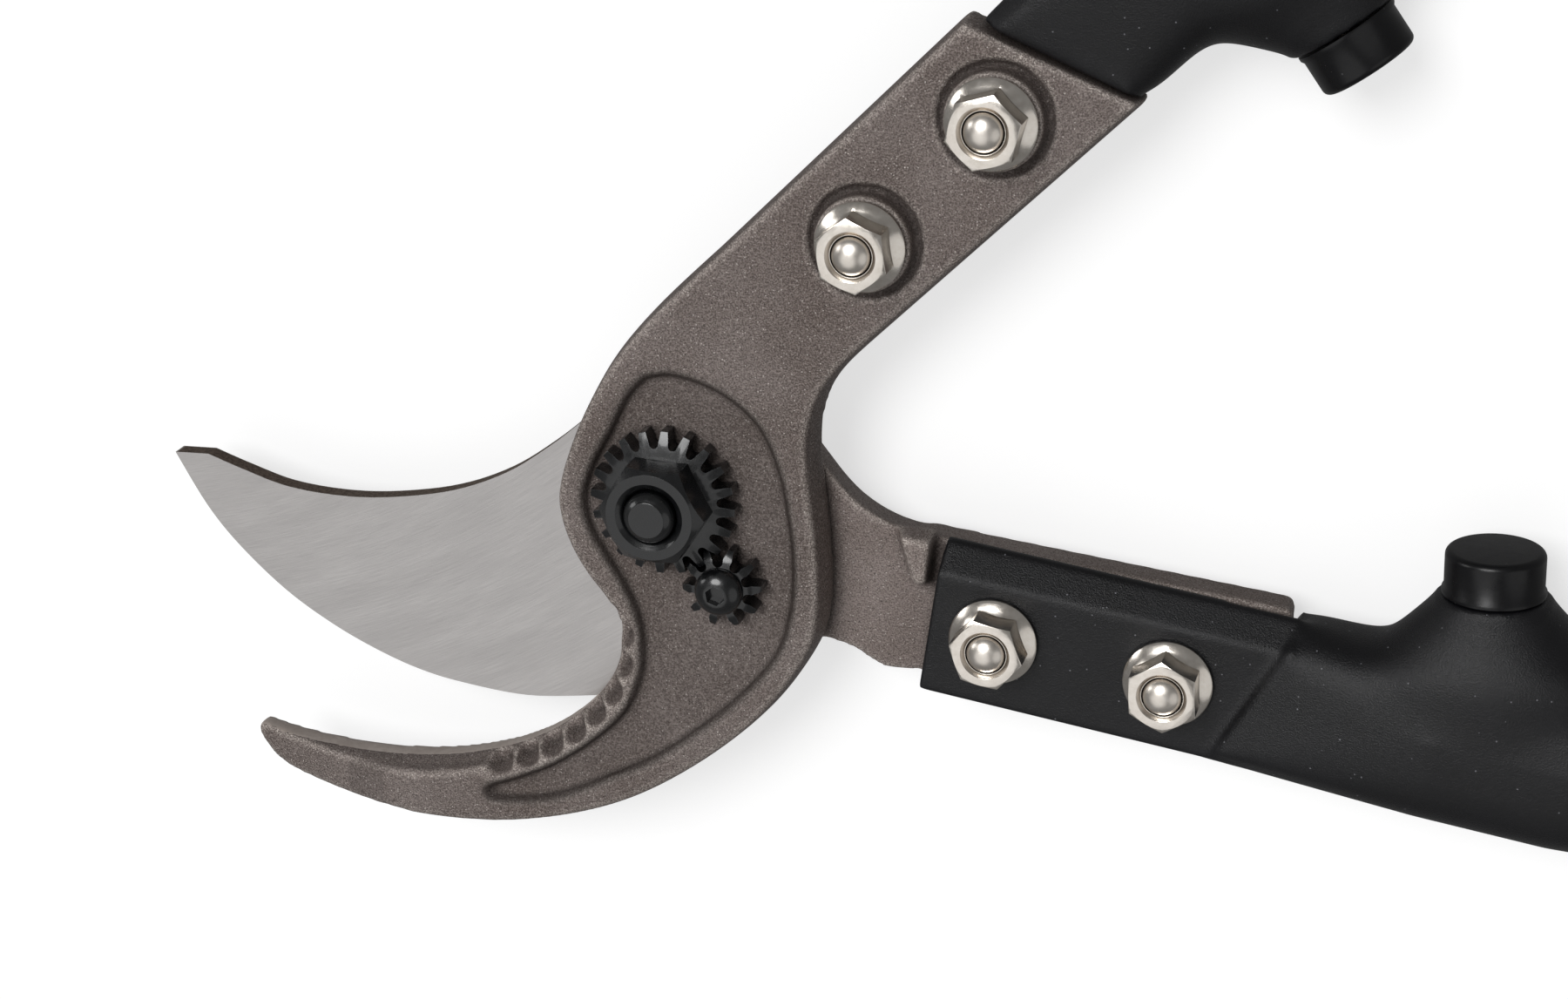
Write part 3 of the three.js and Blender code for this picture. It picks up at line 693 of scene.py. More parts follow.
# ---- hook forging ----
THROAT = [(-12.1, -27.5), (-11.8, -33.5), (-12.6, -39.5), (-15.4, -45), (-20, -50.6), (-26, -55.7),
          (-33, -59.8), (-41, -63)]
HOOK_EDGE = [(10.5, 52), (-2, 39.6), (-11, 28.8), (-16.9, 18.5), (-20.9, 9.2), (-23.6, 0), (-23.4, -6.5),
             (-21.1, -13.2), (-17.5, -19.2), (-13.9, -23.5), *THROAT, (-52, -65.8), (-66, -67.2),
             (-80, -66.7), (-90, -65.3), (-95.2, -64.2), (-96.6, -65.8), (-95, -69), (-90.8, -72.8),
             (-82.4, -75.4), (-71.4, -77.6), (-60.7, -78.8), (-50, -79.1), (-36, -77.9), (-20, -73.8),
             (-5.5, -67.2), (9.5, -56.4), (21, -45), (28.2, -34.5), (31.8, -26), (32.4, -15), (31.7, -5),
             (30.5, 5), (29.8, 13), (30.6, 19.5), (32.7, 25.2), (36.2, 30.2), (41, 35.2)]
POCKET_LEFT = [(-4.3, 25.4), (-8.2, 20.8), (-12, 13), (-15.8, 5.6), (-17.8, -1.5), (-16.6, -8),
               (-13.4, -13.8), (-9.9, -19.5), (-7.1, -25.5), (-6, -32), (-6.4, -39), (-9.6, -47.4),
               (-16, -54.6), (-25, -61.6), (-33, -66), (-39.8, -68.9), (-41.4, -70.4)]
POCKET_RIGHT = [(-41.4, -70.4), (-40, -72.2), (-33, -71.8), (-24, -69.4), (-13, -63.8), (-3, -58),
                (8, -49.2), (17, -40.2), (23.4, -31.4), (26.2, -22), (26.8, -12), (25.8, -2), (23.8, 8),
                (19.4, 17.4), (11.5, 23.6), (2, 26.4), (-4.3, 25.4)]
LAND_HEIGHT = 4.7
BOLT_BORE = 4.3
SEAT_GROOVE = 10.6
FORGING_VOXEL = 0.62


def along(points, share):
    """Point at that share of the curve's length, and its direction."""
    curve = spline(points, 12)
    lengths = [(b - a).length for a, b in zip(curve, curve[1:])]
    left = share * sum(lengths)
    for here, there, length in zip(curve, curve[1:], lengths):
        if left <= length:
            return here.lerp(there, left / length), (there - here).normalized()
        left -= length
    return curve[-1], (curve[-1] - curve[-2]).normalized()


def drafted(outline, low, land, high, draft):
    """Slab whose walls stand straight up to land and then lean in by draft(point) at high."""
    bm = slab(outline, low, land)
    top = max(bm.faces, key=lambda face: face.calc_center_median().z)
    raised = bmesh.ops.extrude_face_region(bm, geom=[top])["geom"]
    if top.is_valid:
        bmesh.ops.delete(bm, geom=[top], context="FACES_ONLY")
    upper = [v for v in raised if isinstance(v, bmesh.types.BMVert)]
    count = len(outline)
    places = {tuple(round(c, 3) for c in point): i for i, point in enumerate(outline)}
    for vert in upper:
        i = places[tuple(round(c, 3) for c in vert.co.xy)]
        run = Vector(outline[(i + 1) % count]) - Vector(outline[i - 1])
        inward = Vector((-run.y, run.x)).normalized()
        vert.co.xy += inward * draft(vert.co.xy)
        vert.co.z = high
    bmesh.ops.recalc_face_normals(bm, faces=bm.faces)
    return bm


def hook_outline():
    end_out = in_arm("upper", tang_end(-17.8), -17.8)
    end_in = in_arm("upper", tang_end(16.6), 16.6)
    return [end_out, *evened(spline(HOOK_EDGE, 10)), end_in]


def hook_draft(point):
    """Jaw and throat lean back further than the rest of the forging."""
    inner_edge = min((point - Vector(p)).length for p in spline(HOOK_EDGE[10:22], 3))
    return 1.9 if inner_edge < 2.5 else 0.9


def sap_notches(count=8):
    """Half-round scoops down the throat's edge, wide at the face and running out at the ground land."""
    scoops = []
    for i in range(count):
        place, run = along(THROAT, (i + 0.6) / count)
        place += Vector((-run.y, run.x)) * 1.1
        scoop = bmesh.new()
        bmesh.ops.create_cone(scoop, cap_ends=True, segments=24, radius1=1.9, radius2=4.2, depth=7)
        scoops.append(shifted(scoop, place.x, place.y, HOOK_FRONT - 1.5))
    return scoops


def set_back(outline, low, high, inset):
    """Slab whose low face stands back by inset(point) from its outline."""
    bm = slab(outline, low, high)
    foot = {tuple(round(c, 3) for c in v.co.xy): v for v in bm.verts if v.co.z < low + 0.1}
    for i, point in enumerate(outline):
        run = Vector(outline[(i + 1) % len(outline)]) - Vector(outline[i - 1])
        inward = Vector((-run.y, run.x)).normalized()
        foot[tuple(round(c, 3) for c in point)].co.xy += inward * inset(point)
    return bm


def bolt_bores(arm):
    return [shifted(rod(BOLT_BORE, 0, 40, 32), *nut) for nut in nut_places(arm)]


def pocket_rim():
    return [*spline(POCKET_LEFT), *spline(POCKET_RIGHT)[1:-1]]


def hook_forging():
    outline = hook_outline()
    body = drafted(outline, HOOK_BACK, HOOK_BACK + LAND_HEIGHT, HOOK_FRONT, hook_draft)
    deep, clear = HOOK_FRONT - 1.5, HOOK_FRONT + 1
    groove = [(0, deep), (SEAT_GROOVE + 0.5, deep), (SEAT_GROOVE + 0.8, clear), (0, clear)]
    boss = [(0, deep - 1.5), (SEAT_GROOVE - 0.8, deep - 1.5), (SEAT_GROOVE - 1.1, BOSS_TOP), (0, BOSS_TOP)]
    nuts = nut_places("upper")
    body = cut(body, *[shifted(turned(groove), *nut) for nut in nuts])
    body = union(body, *[shifted(turned(boss), *nut) for nut in nuts])
    pocket = set_back(pocket_rim(), POCKET_FLOOR, HOOK_FRONT + 0.6, lambda point: 0.5)
    slope = block(-80, 0, -30, 30, 0, 20)
    taper = shifted(rotated(slope, -9.6, "Y"), -58, -70, HOOK_FRONT)
    body = cut(body, pocket, taper, *sap_notches())
    skin = forged_skin(body, FORGING_VOXEL)
    softened(skin, 3, lambda co: co.z < HOOK_BACK + 0.4)
    softened(
        skin,
        5,
        lambda co: co.z < HOOK_BACK + 0.4
        or (co.x < -9 and -64 < co.y < -26)
        or min((co.xy - nut).length for nut in nuts) < 12.5,
    )
    return cut(skin, rod(PIVOT_RADIUS + GAP, 0, 40), *bolt_bores("upper"))


# ---- blade ----
CUTTING_EDGE = [(-20, -50.2), (-35, -52), (-50, -50.8), (-60, -48.8), (-70, -45.2), (-80, -40.3),
                (-90, -33.8), (-100, -24.8), (-107, -16.3), (-113.7, -4.8)]
SPINE_EDGE = [(-106, -4.5), (-98, -7.2), (-88, -10), (-76, -10.9), (-64, -10), (-50, -7), (-38, -1.8),
              (-28, 5.2), (-19, 12.8), (-9, 20.4), (3, 22.8), (14, 19.2), (20, 14)]
BEVEL_WIDTH = 9
HUB_RADIUS = 22.5
BUSH_RADIUS = 9


def blade_plate():
    """Ground plate: its back is bevelled up to the cutting edge."""
    edge = spline(CUTTING_EDGE)
    spine = spline(SPINE_EDGE)
    heel = [(20, -30), (12, -34.5), (0, -41.5), (-10, -47.2)]
    outline = [*edge, *spine, *heel]
    plate = slab(outline, BLADE_BACK, BLADE_FRONT)
    back = {tuple(round(c, 3) for c in v.co.xy): v for v in plate.verts if v.co.z < BLADE_BACK + 0.1}
    for i, point in enumerate(edge):
        run = edge[min(i + 1, len(edge) - 1)] - edge[max(i - 1, 0)]
        inward = Vector((run.y, -run.x)).normalized()
        share = min(1, (len(edge) - 1 - i) / 14, (i + 1) / 4)
        vert = back[tuple(round(c, 3) for c in point)]
        vert.co.xy += inward * BEVEL_WIDTH * share
    bmesh.ops.recalc_face_normals(plate, faces=plate.faces)
    return plate


def blade_tang():
    """Forged hub and tang, with the stop lug on its face."""
    upper = spline([(20.5, 18), (24.6, 14), (29.2, 8), (36, 0.2), (44, -4.4), (54, -6.4)])
    lower = spline([in_arm("lower", -33, -13.8), (43, -36.2), (36, -32.6), (29, -31)])
    rounding = ((18, 4), (17.5, 2), (16, 0.6), (14, 0))
    corner = [in_arm("lower", tang_end(v) - back, v) for v, back in rounding]
    outline = [*upper, *corner, in_arm("lower", tang_end(-13.8), -13.8), *lower]
    tang = set_back(outline[::-1], TANG_BACK, BLADE_FRONT, lambda point: 1.9 if point[0] < 50 else 1.1)
    hub = rod(HUB_RADIUS, HUB_BACK, BLADE_FRONT, 96)
    foot = [(45, -4.4), (53.4, -4.4), (53, -16.6), (49.6, -17)]
    crown = [(47.4, -4.7), (53.4, -5.2), (52.6, -14.4), (50.2, -14.6)]
    lug = hull([(*p, BLADE_FRONT - 1) for p in foot] + [(*p, BLADE_FRONT + 6.3) for p in crown])
    skin = forged_skin(merged(tang, hub, lug), FORGING_VOXEL)
    softened(skin, 8, lambda co: co.x < 30 and co.z > BLADE_FRONT - 0.5)
    softened(skin, 8, lambda co: co.x < 60)
    return cut(skin, rod(BUSH_RADIUS + GAP, 0, 40), *bolt_bores("lower"))


# ---- pivot ----
def tooth_outline(teeth, tip, root, turn, tip_share, waist_share, floor_share):
    """Tapered teeth with round gaps: each tooth has a flat tip and each gap a half-round floor."""
    pitch = FULL_TURN / teeth
    points = []
    for tooth in range(teeth):
        centre = math.radians(turn) + tooth * pitch
        gap = centre + pitch / 2
        steps = [(tip, centre - tip_share * pitch), (tip, centre + tip_share * pitch)]
        flank = [((tip + root) / 2, centre + waist_share * pitch)]
        floor_radius = floor_share * pitch * root
        for k in range(7):
            angle = math.pi * (k / 6)
            out = root + floor_radius * (1 - math.sin(angle))
            side = -math.cos(angle) * floor_radius / root
            flank.append((out, gap + side))
        flank.append(((tip + root) / 2, centre + (1 - waist_share) * pitch))
        points += [(r * math.cos(a), r * math.sin(a)) for r, a in steps + flank]
    return points


def pivot_nut_gear():
    """Toothed locking plate and hexagon in one, with a countersunk mouth."""
    plate = slab(tooth_outline(20, 15.15, 11.7, 15.5, 0.15, 0.225, 0.24), NUT_BACK, GEAR_FRONT)
    crown = [(0, NUT_BACK - 1), (16, NUT_BACK - 1), (16, GEAR_FRONT - 1.9), (15, GEAR_FRONT - 1.3),
             (10, GEAR_FRONT), (0, GEAR_FRONT)]
    plate = overlap(plate, turned(crown, 96))
    hexagon_bar = rotated(hexagon(19, GEAR_FRONT - 1, NUT_TOP, 42, 0.55), 28, "Z")
    mouth = [(0, NUT_TOP - 2.4), (5.5, NUT_TOP - 2.4), (5.5, NUT_TOP - 1.3), (5.7, NUT_TOP - 0.85),
             (6.1, NUT_TOP - 0.5), (6.8, NUT_TOP - 0.15), (7, NUT_TOP), (7, NUT_TOP + 0.2),
             (0, NUT_TOP + 0.2)]
    bore = rod(PIVOT_RADIUS + GAP, 0, NUT_TOP - 2.3)
    return cut(union(plate, hexagon_bar), bore, turned(mouth, 96))


def pivot_bolt():
    end = corners("pivot_bolt")[1].z
    shank = [(0, 3), (PIVOT_RADIUS, 3), (PIVOT_RADIUS, NUT_TOP - 2.6), (5.3, NUT_TOP - 2),
             (5.3, end - 2.2), (5.15, end - 1.5), (4.75, end - 0.8), (4.15, end - 0.3), (3.8, end - 0.1),
             (3.7, end), (0, end)]
    head = rotated(hexagon(19, -7.2, 0), 180, "X")
    return union(turned(shank), head)


def lock_pinion():
    turn = -54.2 + 180 - pinion_lead()
    wheel = slab(tooth_outline(10, 8.4, 4.9, turn, 0.1, 0.22, 0.3), NUT_BACK, GEAR_FRONT)
    dome = turned([(0, NUT_BACK - 1), (9, NUT_BACK - 1), (9, GEAR_FRONT - 2.4), (8, GEAR_FRONT - 1.1),
                   (6.6, GEAR_FRONT - 0.4), (5, GEAR_FRONT), (0, GEAR_FRONT)])
    wheel = cut(overlap(wheel, dome), rod(2.8, 0, 40, 32))
    return shifted(wheel, PINION_PLACE.x, PINION_PLACE.y)


def pinion_lead():
    """Turn that puts the pinion's teeth in the nut's gaps."""
    lead = (-54.2 - 15.5) % 18
    return 18 - lead * 2


def lock_screw():
    seat = GEAR_FRONT + GAP
    foot = HOOK_BACK + 0.8
    dome = arc((0, seat + 0.6), 4.95, 2.8, 62, 10)
    screw = turned([(0, foot), (2.5, foot), (2.5, seat), (4.8, seat), *dome, (0, seat + 3.4)])
    key = bmesh.new()
    bmesh.ops.create_cone(key, cap_ends=True, segments=6, radius1=2, radius2=2.2, depth=3)
    shifted(key, 0, 0, seat + 2.9)
    return shifted(cut(screw, rotated(key, 12, "Z")), PINION_PLACE.x, PINION_PLACE.y)


# ---- handles ----
BODY_RADIUS = 15.2
BODY_DEPTH = 16
SOCKET_END = 126
TUBE_RADIUS = 12.5
HANDLE_END = 540
GRIP_START = 372
RIVETS = (106, 118)
NUT_SPACING = 35.5
SOCKET_VOXEL = 0.6


def at_bumper(bm):
    rotated(bm, 90, "Y")
    rotated(bm, BUMPER_LEAN, "Z")
    return shifted(bm, BUMPER_TIP.x, BUMPER_TIP.y)


def along_handle(bm):
    return rotated(bm, 90, "Y")


def socket_plate(edge):
    """Flat that is bolted to the tang, with its wide bevel towards the other handle."""
    plate = block(-31.2, 46, -14.6, edge, GAP / 2, GAP / 2 + PLATE)
    geometry = plate.verts[:] + plate.edges[:] + plate.faces[:]
    bevel = {"plane_co": (0, edge - 2.9, PLATE - 2.4), "plane_no": (0, 1, 1.2)}
    made = bmesh.ops.bisect_plane(plate, geom=geometry, clear_outer=True, **bevel)
    rim = [e for e in made["geom_cut"] if isinstance(e, bmesh.types.BMEdge)]
    bmesh.ops.contextual_create(plate, geom=rim)
    bmesh.ops.recalc_face_normals(plate, faces=plate.faces)
    return plate


def socket_body():
    """Body from the tang's end to the round sleeve: flat-fronted under the bumper, with full corners."""
    front = PLATE + 1.6
    back = TANG_BACK + 0.3 - MID
    section = [(-15, back + 3), (-12, back), (13.5, back), (16.4, back + 3),
               (16.4, front - 5), (12.4, front), (-12, front), (-15, front - 3)]
    slanted = [(tang_end(v) + 0.6, v, w) for v, w in section]
    count = 64
    square, rounded_off = [], []
    for k in range(count):
        c, s = math.cos(k * FULL_TURN / count), math.sin(k * FULL_TURN / count)
        v = math.copysign(BODY_DEPTH * abs(c) ** 0.7, c)
        w = math.copysign(BODY_RADIUS * abs(s) ** 0.7, s)
        square += [(BUMPER_TIP.x - 4, v, w), (BUMPER_TIP.x + 22, v, w)]
        rounded_off.append((112, BODY_DEPTH * c, BODY_RADIUS * s))
    return hull(slanted + square + rounded_off)


def bumper_boss():
    """Flared foot of the bumper: it spreads along the handle, and little across it."""
    top = -BUMPER_HEIGHT - GAP
    boss = turned([(0, -34), (26, -34), (29, -25), (29, -23.6), (25, -22), (21, -19.4), (17.4, -16.2),
                   (14, -12.6), (11.7, top - 1.5), (10.6, top), (0, top)])
    for vert in boss.verts:
        reach = vert.co.xy.length
        drop = top - vert.co.z
        widest = min(10.6 + 0.12 * drop + 0.015 * drop * drop, 15)
        if reach > widest:
            vert.co.x *= widest / reach
    return overlap(at_bumper(boss), block(42, 104, 5, 60, -15, 15))


def socket_casting(arm):
    sleeve = rod(1, BUMPER_TIP.x - 4, SOCKET_END, 96)
    bmesh.ops.scale(sleeve, vec=(BODY_RADIUS, BODY_DEPTH, 1), verts=sleeve.verts)
    solids = merged(socket_plate(PLATE_EDGE[arm]), socket_body(), along_handle(sleeve), bumper_boss())
    skin = forged_skin(solids, SOCKET_VOXEL)
    softened(skin, 10, lambda co: co.z < GAP / 2 + 0.4 and co.x < TANG_END - 8)
    softened(skin, 120, lambda co: not 40 < co.x < 108 or co.y < 4 or (co.xy - BUMPER_TIP).length < 15)
    nuts = [shifted(rod(BOLT_BORE, -20, 20, 32), side * NUT_SPACING / 2, 0) for side in (-1, 1)]
    bore = along_handle(rod(TUBE_RADIUS + GAP, 62, SOCKET_END + 1, 96))
    return moved(cut(skin, bore, *nuts), ARM[arm])


def bumper_puck(arm):
    low = -BUMPER_HEIGHT
    corner = arc((8.2, -1.3), 1.3, 1.3, 91, 15)
    puck = turned([(0, low), (9.9, low), (9.9, low + 0.7), (9.5, low + 1.3), *corner, (0, 0)], 96)
    stud = [(0, low - 1), (3.3, low - 1), (3.3, low + 1), (7, low + 1), (7, low + 3), (0, low + 3)]
    return moved(at_bumper(cut(puck, turned(stud))), ARM[arm])


def handle_tube(arm):
    tube = ring(TUBE_RADIUS - 1.6, TUBE_RADIUS, 62 + GAP, HANDLE_END - 3, 96)
    return moved(along_handle(tube), ARM[arm])


def rivet(arm, u):
    reach = BODY_DEPTH + GAP
    dome = [(3.8, 0), (3.7, 0.5), (3.2, 0.95), (2.2, 1.25), (1, 1.35), (0, 1.4)]
    profile = [(r, -reach - h) for r, h in dome[::-1]] + [(2.4, -reach), (2.4, reach)]
    profile += [(r, reach + h) for r, h in dome]
    return moved(shifted(rotated(turned(profile, 32), 90, "X"), u, 0), ARM[arm])


def grip_sleeve(arm):
    """Rubber sleeve with a hand stop at each end and ring ribs between them."""
    bore = TUBE_RADIUS + GAP
    start = GRIP_START + 7 + GAP
    end = HANDLE_END - 5 - GAP
    ribs = []
    count = 26
    pitch = 4.6
    for k in range(count):
        at = start + 16 + k * pitch
        swell = 14.75 + 0.35 * math.sin(math.pi * k / (count - 1) * 2)
        groove = swell - 0.75
        ribs += [(groove, at), (groove, at + 1), (swell, at + 1.5), (swell, at + pitch - 0.5)]
    profile = [(bore, start), (15.6, start), (16, start + 0.6), (16, start + 3), (15.2, start + 6.5),
               (14.5, start + 12), *ribs, (14.7, end - 16), (15.3, end - 10), (16, end - 5),
               (16, end - 0.8), (15.4, end), (bore, end), (bore, start)]
    return moved(along_handle(turned(profile, 96)), ARM[arm])


def grip_collar(arm):
    bore = TUBE_RADIUS + GAP
    at = GRIP_START
    profile = [(bore, at), (14.4, at), (15.1, at + 0.8), (15.2, at + 2.6), (14.6, at + 3),
               (14.6, at + 3.9), (15.2, at + 4.3), (15.2, at + 6.4), (14.8, at + 7), (bore, at + 7),
               (bore, at)]
    return moved(along_handle(turned(profile, 96)), ARM[arm])


def end_cap(arm):
    seat = HANDLE_END - 5
    plug = TUBE_RADIUS - 1.6 - GAP
    dome = [(13.6, seat + 4.4), (11.5, seat + 4.85), (8.2, seat + 5), (7.6, seat + 4.5), (3, seat + 4.3),
            (0, seat + 4.3)]
    profile = [(0, seat - 12), (plug, seat - 12), (plug, seat + 2.3), (TUBE_RADIUS + GAP, seat + 2.3),
               (TUBE_RADIUS + GAP, seat), (15.1, seat), (15.4, seat + 0.5), (15.4, seat + 2.6),
               (14.8, seat + 3.8), *dome]
    return moved(along_handle(turned(profile, 96)), ARM[arm])


# ---- handle bolts and nuts ----
def flange_nut(node, turn):
    low, high = corners(node)
    seat, top = low.z, high.z
    flange = turned([(0, seat), (8.7, seat), (8.95, seat + 0.4), (8.95, seat + 0.9), (8.5, seat + 1.35),
                     (7.4, seat + 1.85), (6.2, seat + 2.7), (0, seat + 2.7)], 96)
    body = union(flange, rotated(hexagon(13, seat + 1, top, 22, 0.05), turn, "Z"))
    thread = rod(4.1, 0, 50)
    mouth = turned([(0, top - 0.8), (4.25, top - 0.8), (5.05, top + 0.1), (0, top + 0.1)])
    centre = (low + high) / 2
    return shifted(cut(body, thread, mouth), centre.x, centre.y)


def handle_bolt(node):
    low, high = corners(node)
    foot, end = low.z, high.z
    head = [(0, foot), (3.2, foot + 0.08), (5.2, foot + 0.55), (7, foot + 1.5), (8.3, foot + 2.7),
            (9, foot + 3.9), (9, foot + 4.6), (4, foot + 4.6)]
    tip = arc((0, end - 2.6), 3.95, 2.6, 90, 9)
    tip.append((0, end))
    centre = (low + high) / 2
    return shifted(turned(head + tip), centre.x, centre.y)


# ---- assembly ----
def ground_faces(made):
    """The blade's spine and heel walls keep their forging scale."""
    for face in made.data.polygons:
        face.material_index = 1 if abs(face.normal.z) < 0.2 else 0


def nearness(curve):
    """Finds the nearest of the curve's points, in metres."""
    tree = KDTree(len(curve))
    for i, point in enumerate(curve):
        tree.insert(Vector((*point, 0)) * MM, i)
    tree.balance()
    return tree


def ground_jaw(made):
    """Ground strip on the wall under the jaw and throat, next to the blade."""
    edge = nearness(spline(HOOK_EDGE[9:23], 20))
    for face in made.data.polygons:
        here = face.center
        upright = abs(face.normal.z) < 0.5
        low = HOOK_BACK * MM + 0.0001 < here.z < (HOOK_BACK + LAND_HEIGHT) * MM
        if upright and low and edge.find((here.x, here.y, 0))[2] < 1.6 * MM:
            face.material_index = 1


def curved(made, passes=2):
    """Stores how sharply the skin bends: over 0 on its edges and under 0 in its corners."""
    mesh = made.data
    count = len(mesh.vertices)
    places, normals = np.empty(count * 3), np.empty(count * 3)
    mesh.vertices.foreach_get("co", places)
    mesh.vertices.foreach_get("normal", normals)
    places, normals = places.reshape(-1, 3) / MM, normals.reshape(-1, 3)
    ends = np.empty(len(mesh.edges) * 2, dtype=int)
    mesh.edges.foreach_get("vertices", ends)
    first, second = ends[0::2], ends[1::2]
    degree = np.bincount(ends, minlength=count).clip(1)

    def round_average(values):
        total = np.zeros_like(values)
        np.add.at(total, first, values[second])
        np.add.at(total, second, values[first])
        return total / (degree[:, None] if values.ndim == 2 else degree)

    bend = np.einsum("ij,ij->i", places - round_average(places), normals)
    for _ in range(passes):
        bend = (bend + round_average(bend)) / 2
    mesh.attributes.new("bend", "FLOAT", "POINT").data.foreach_set("value", bend)


def paint_shade_lines(made, rim):
    """Paints shade: dark lines round the pocket's wall and the nut seats, and a thin painted shade on the
    pocket floor.
    """
    nuts = nut_places("upper")
    wall = nearness(rim)
    painted_shade = made.data.attributes.new("painted_shade", "FLOAT", "POINT")
    for vert, value in zip(made.data.vertices, painted_shade.data):
        reach = wall.find((vert.co.x, vert.co.y, 0))[2] / MM
        height = vert.co.z / MM - POCKET_FLOOR
        if -0.5 < height and vert.normal.z > 0.3:
            seat = min(abs((vert.co.xy / MM - nut).length - SEAT_GROOVE) for nut in nuts)
            # painted shade lines round the pocket wall and the nut seats; the floor gets a thin painted
            # shade
            line = max(0.85 * math.exp(-(reach**2)), 0.5 * math.exp(-((seat / 0.7) ** 2)))
            value.value = line + (0.26 if height < 1 else 0)


def build_head():
    steel = {"slot": "forged_steel", "smooth_angle": 60}
    hook = piece("hook_forging", hook_forging(), [FORGED, LAND], "hook_arm", nodes=["hook"], **steel)
    ground_jaw(hook)
    paint_shade_lines(hook, spline(POCKET_LEFT, 14) + spline(POCKET_RIGHT, 14))
    plate = piece("blade_plate", blade_plate(), [GROUND, SPINE], "blade_arm", "ground_steel", ["blade"])
    ground_faces(plate)
    tang = piece("blade_tang", blade_tang(), FORGED_TANG_PAINTED_LIGHTER, "blade_arm", **steel)
    tang.parent = plate
    for forging in (hook, tang):
        curved(forging)
    for name, shape, body, node, bevel in (
        ("pivot_bolt_m12", pivot_bolt(), "hook_arm", "pivot_bolt", 0.25),
        ("lock_screw_m5", lock_screw(), "hook_arm", "lock_screw", 0.15),
        ("pivot_nut_gear", pivot_nut_gear(), "pivot_nut", "pivot_nut", 0.22),
        ("lock_pinion_wheel", lock_pinion(), "lock_pinion", "lock_pinion", 0.35),
    ):
        piece(name, shape, BLACKENED, body, "blackened_steel", [node], bevel=bevel)
    low, high = corners("thrust_washer")
    washer = ring(PIVOT_RADIUS + GAP, 14, low.z, high.z, 96)
    piece("thrust_washer_ring", washer, PLATED, "hook_arm", "plated_steel", ["thrust_washer"], bevel=0.2)


def build_handle(arm, turns):
    body = BODY[arm]
    rivets = [
        (f"rivet_{i}_domed", rivet(arm, u), BLACKENED, "blackened_steel", f"rivet_{i}", {})
        for i, u in enumerate(RIVETS, 1)
    ]
    for name, shape, finish, slot, node, extra in (
        ("socket_casting", socket_casting(arm), COATED, "coated_black", "socket", {"smooth_angle": 60}),
        ("bumper_puck", bumper_puck(arm), BUMPER, "rubber_black", "bumper", {}),
        ("handle_tube", handle_tube(arm), TUBE, "tube_black", "tube", {}),
        *rivets,
        ("grip_sleeve", grip_sleeve(arm), GRIP, "grip_rubber", "grip", {"bevel": 0.2}),
        ("grip_collar", grip_collar(arm), PLASTIC, "moulded_plastic", "collar", {"bevel": 0.15}),
        ("end_plug", end_cap(arm), PLASTIC, "moulded_plastic", "end_cap", {"bevel": 0.15}),
    ):
        piece(f"{arm}_{name}", shape, finish, body, slot, [f"{arm}_{node}"], **extra)
    for which, turn in zip(("inner", "outer"), turns):
        nut, bolt = f"{arm}_{which}_nut", f"{arm}_{which}_bolt"
        piece(f"{nut}_m8", flange_nut(nut, turn), PLATED, body, "plated_steel", [nut], bevel=0.22)
        piece(f"{bolt}_m8", handle_bolt(bolt), PLATED_BOLT, body, "plated_steel", [bolt])


build_head()
build_handle("upper", (8, -14))
build_handle("lower", (20, 3))

CARRIED_OVER = {"pivot_bush": BRONZE, "upper_bumper_stud": PLATED, "lower_bumper_stud": PLATED}
for hidden, finish in CARRIED_OVER.items():
    frame["nodes"][hidden].data.materials.clear()
    frame["nodes"][hidden].data.materials.append(finish)


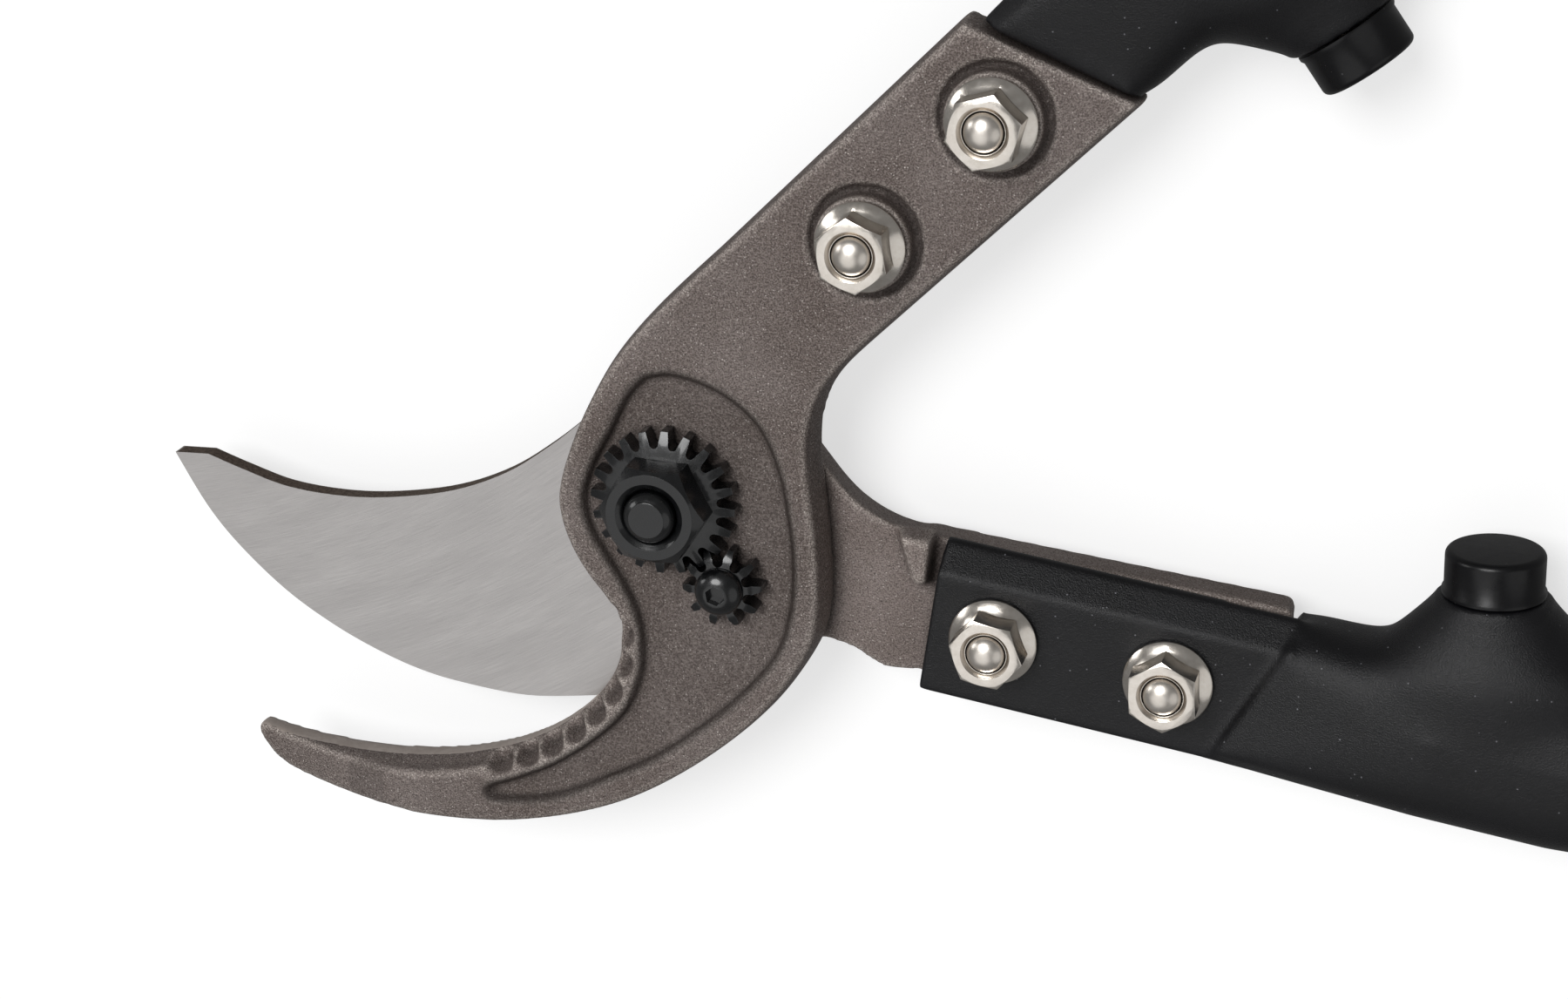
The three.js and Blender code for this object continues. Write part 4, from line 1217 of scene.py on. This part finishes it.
# ---- studio ----
def pale_floor():
    grey, white = (0.42, 0.42, 0.42, 1), (1, 1, 1, 1)
    lit = {"base_color": grey, "emission_color": white, "emission_strength": 0.64}
    material, _ = new_material("pale_floor", roughness=0.9, **lit)
    bm = bmesh.new()
    bmesh.ops.create_grid(bm, x_segments=1, y_segments=1, size=12)
    mesh = bpy.data.meshes.new("floor")
    bm.to_mesh(mesh)
    bm.free()
    mesh.materials.append(material)
    floor = bpy.data.objects.new("floor", mesh)
    floor.location.z = -0.0002
    floor.visible_glossy = False
    floor.visible_diffuse = False
    bpy.context.scene.collection.objects.link(floor)


def soft_sun(name, towards, strength, degrees):
    """Broad distant light, shining from the direction towards."""
    lamp = bpy.data.lights.new(name, "SUN")
    lamp.energy = strength
    lamp.angle = math.radians(degrees)
    made = bpy.data.objects.new(name, lamp)
    made.rotation_mode = "QUATERNION"
    made.rotation_quaternion = Vector(towards).to_track_quat("Z", "Y")
    bpy.context.scene.collection.objects.link(made)


def studio():
    world = bpy.data.worlds.new("studio")
    world.use_nodes = True
    backdrop = world.node_tree.nodes["Background"]
    backdrop.inputs["Color"].default_value = (1, 1, 1, 1)
    backdrop.inputs["Strength"].default_value = 0.2
    bpy.context.scene.world = world
    soft_sun("main_softbox", (-0.24, 0.4, 0.88), 1.85, 30)
    soft_sun("overhead_panel", (-0.28, -0.4, 0.87), 0.5, 56)
    soft_sun("left_strip", (-0.9, 0.3, 0.35), 0.3, 20)
    soft_sun("right_panel", (0.75, -0.25, 0.6), 0.28, 50)
    bpy.context.scene.view_settings.view_transform = "Standard"


def camera():
    lens = bpy.data.cameras.new("camera")
    lens.lens = 70
    lens.sensor_width = 36
    lens.clip_start = 0.01
    made = bpy.data.objects.new("camera", lens)
    eye = Vector((0.1806, 0.2166, 0.5700))
    target = Vector((0.0237, 0.0011, 0.0227))
    back = (eye - target).normalized()
    right = Vector((0, 1, 0)).cross(back).normalized()
    up = back.cross(right)
    made.matrix_world = Matrix.Translation(eye) @ Matrix((right, up, back)).transposed().to_4x4()
    bpy.context.scene.collection.objects.link(made)
    bpy.context.scene.camera = made


pale_floor()
studio()
camera()
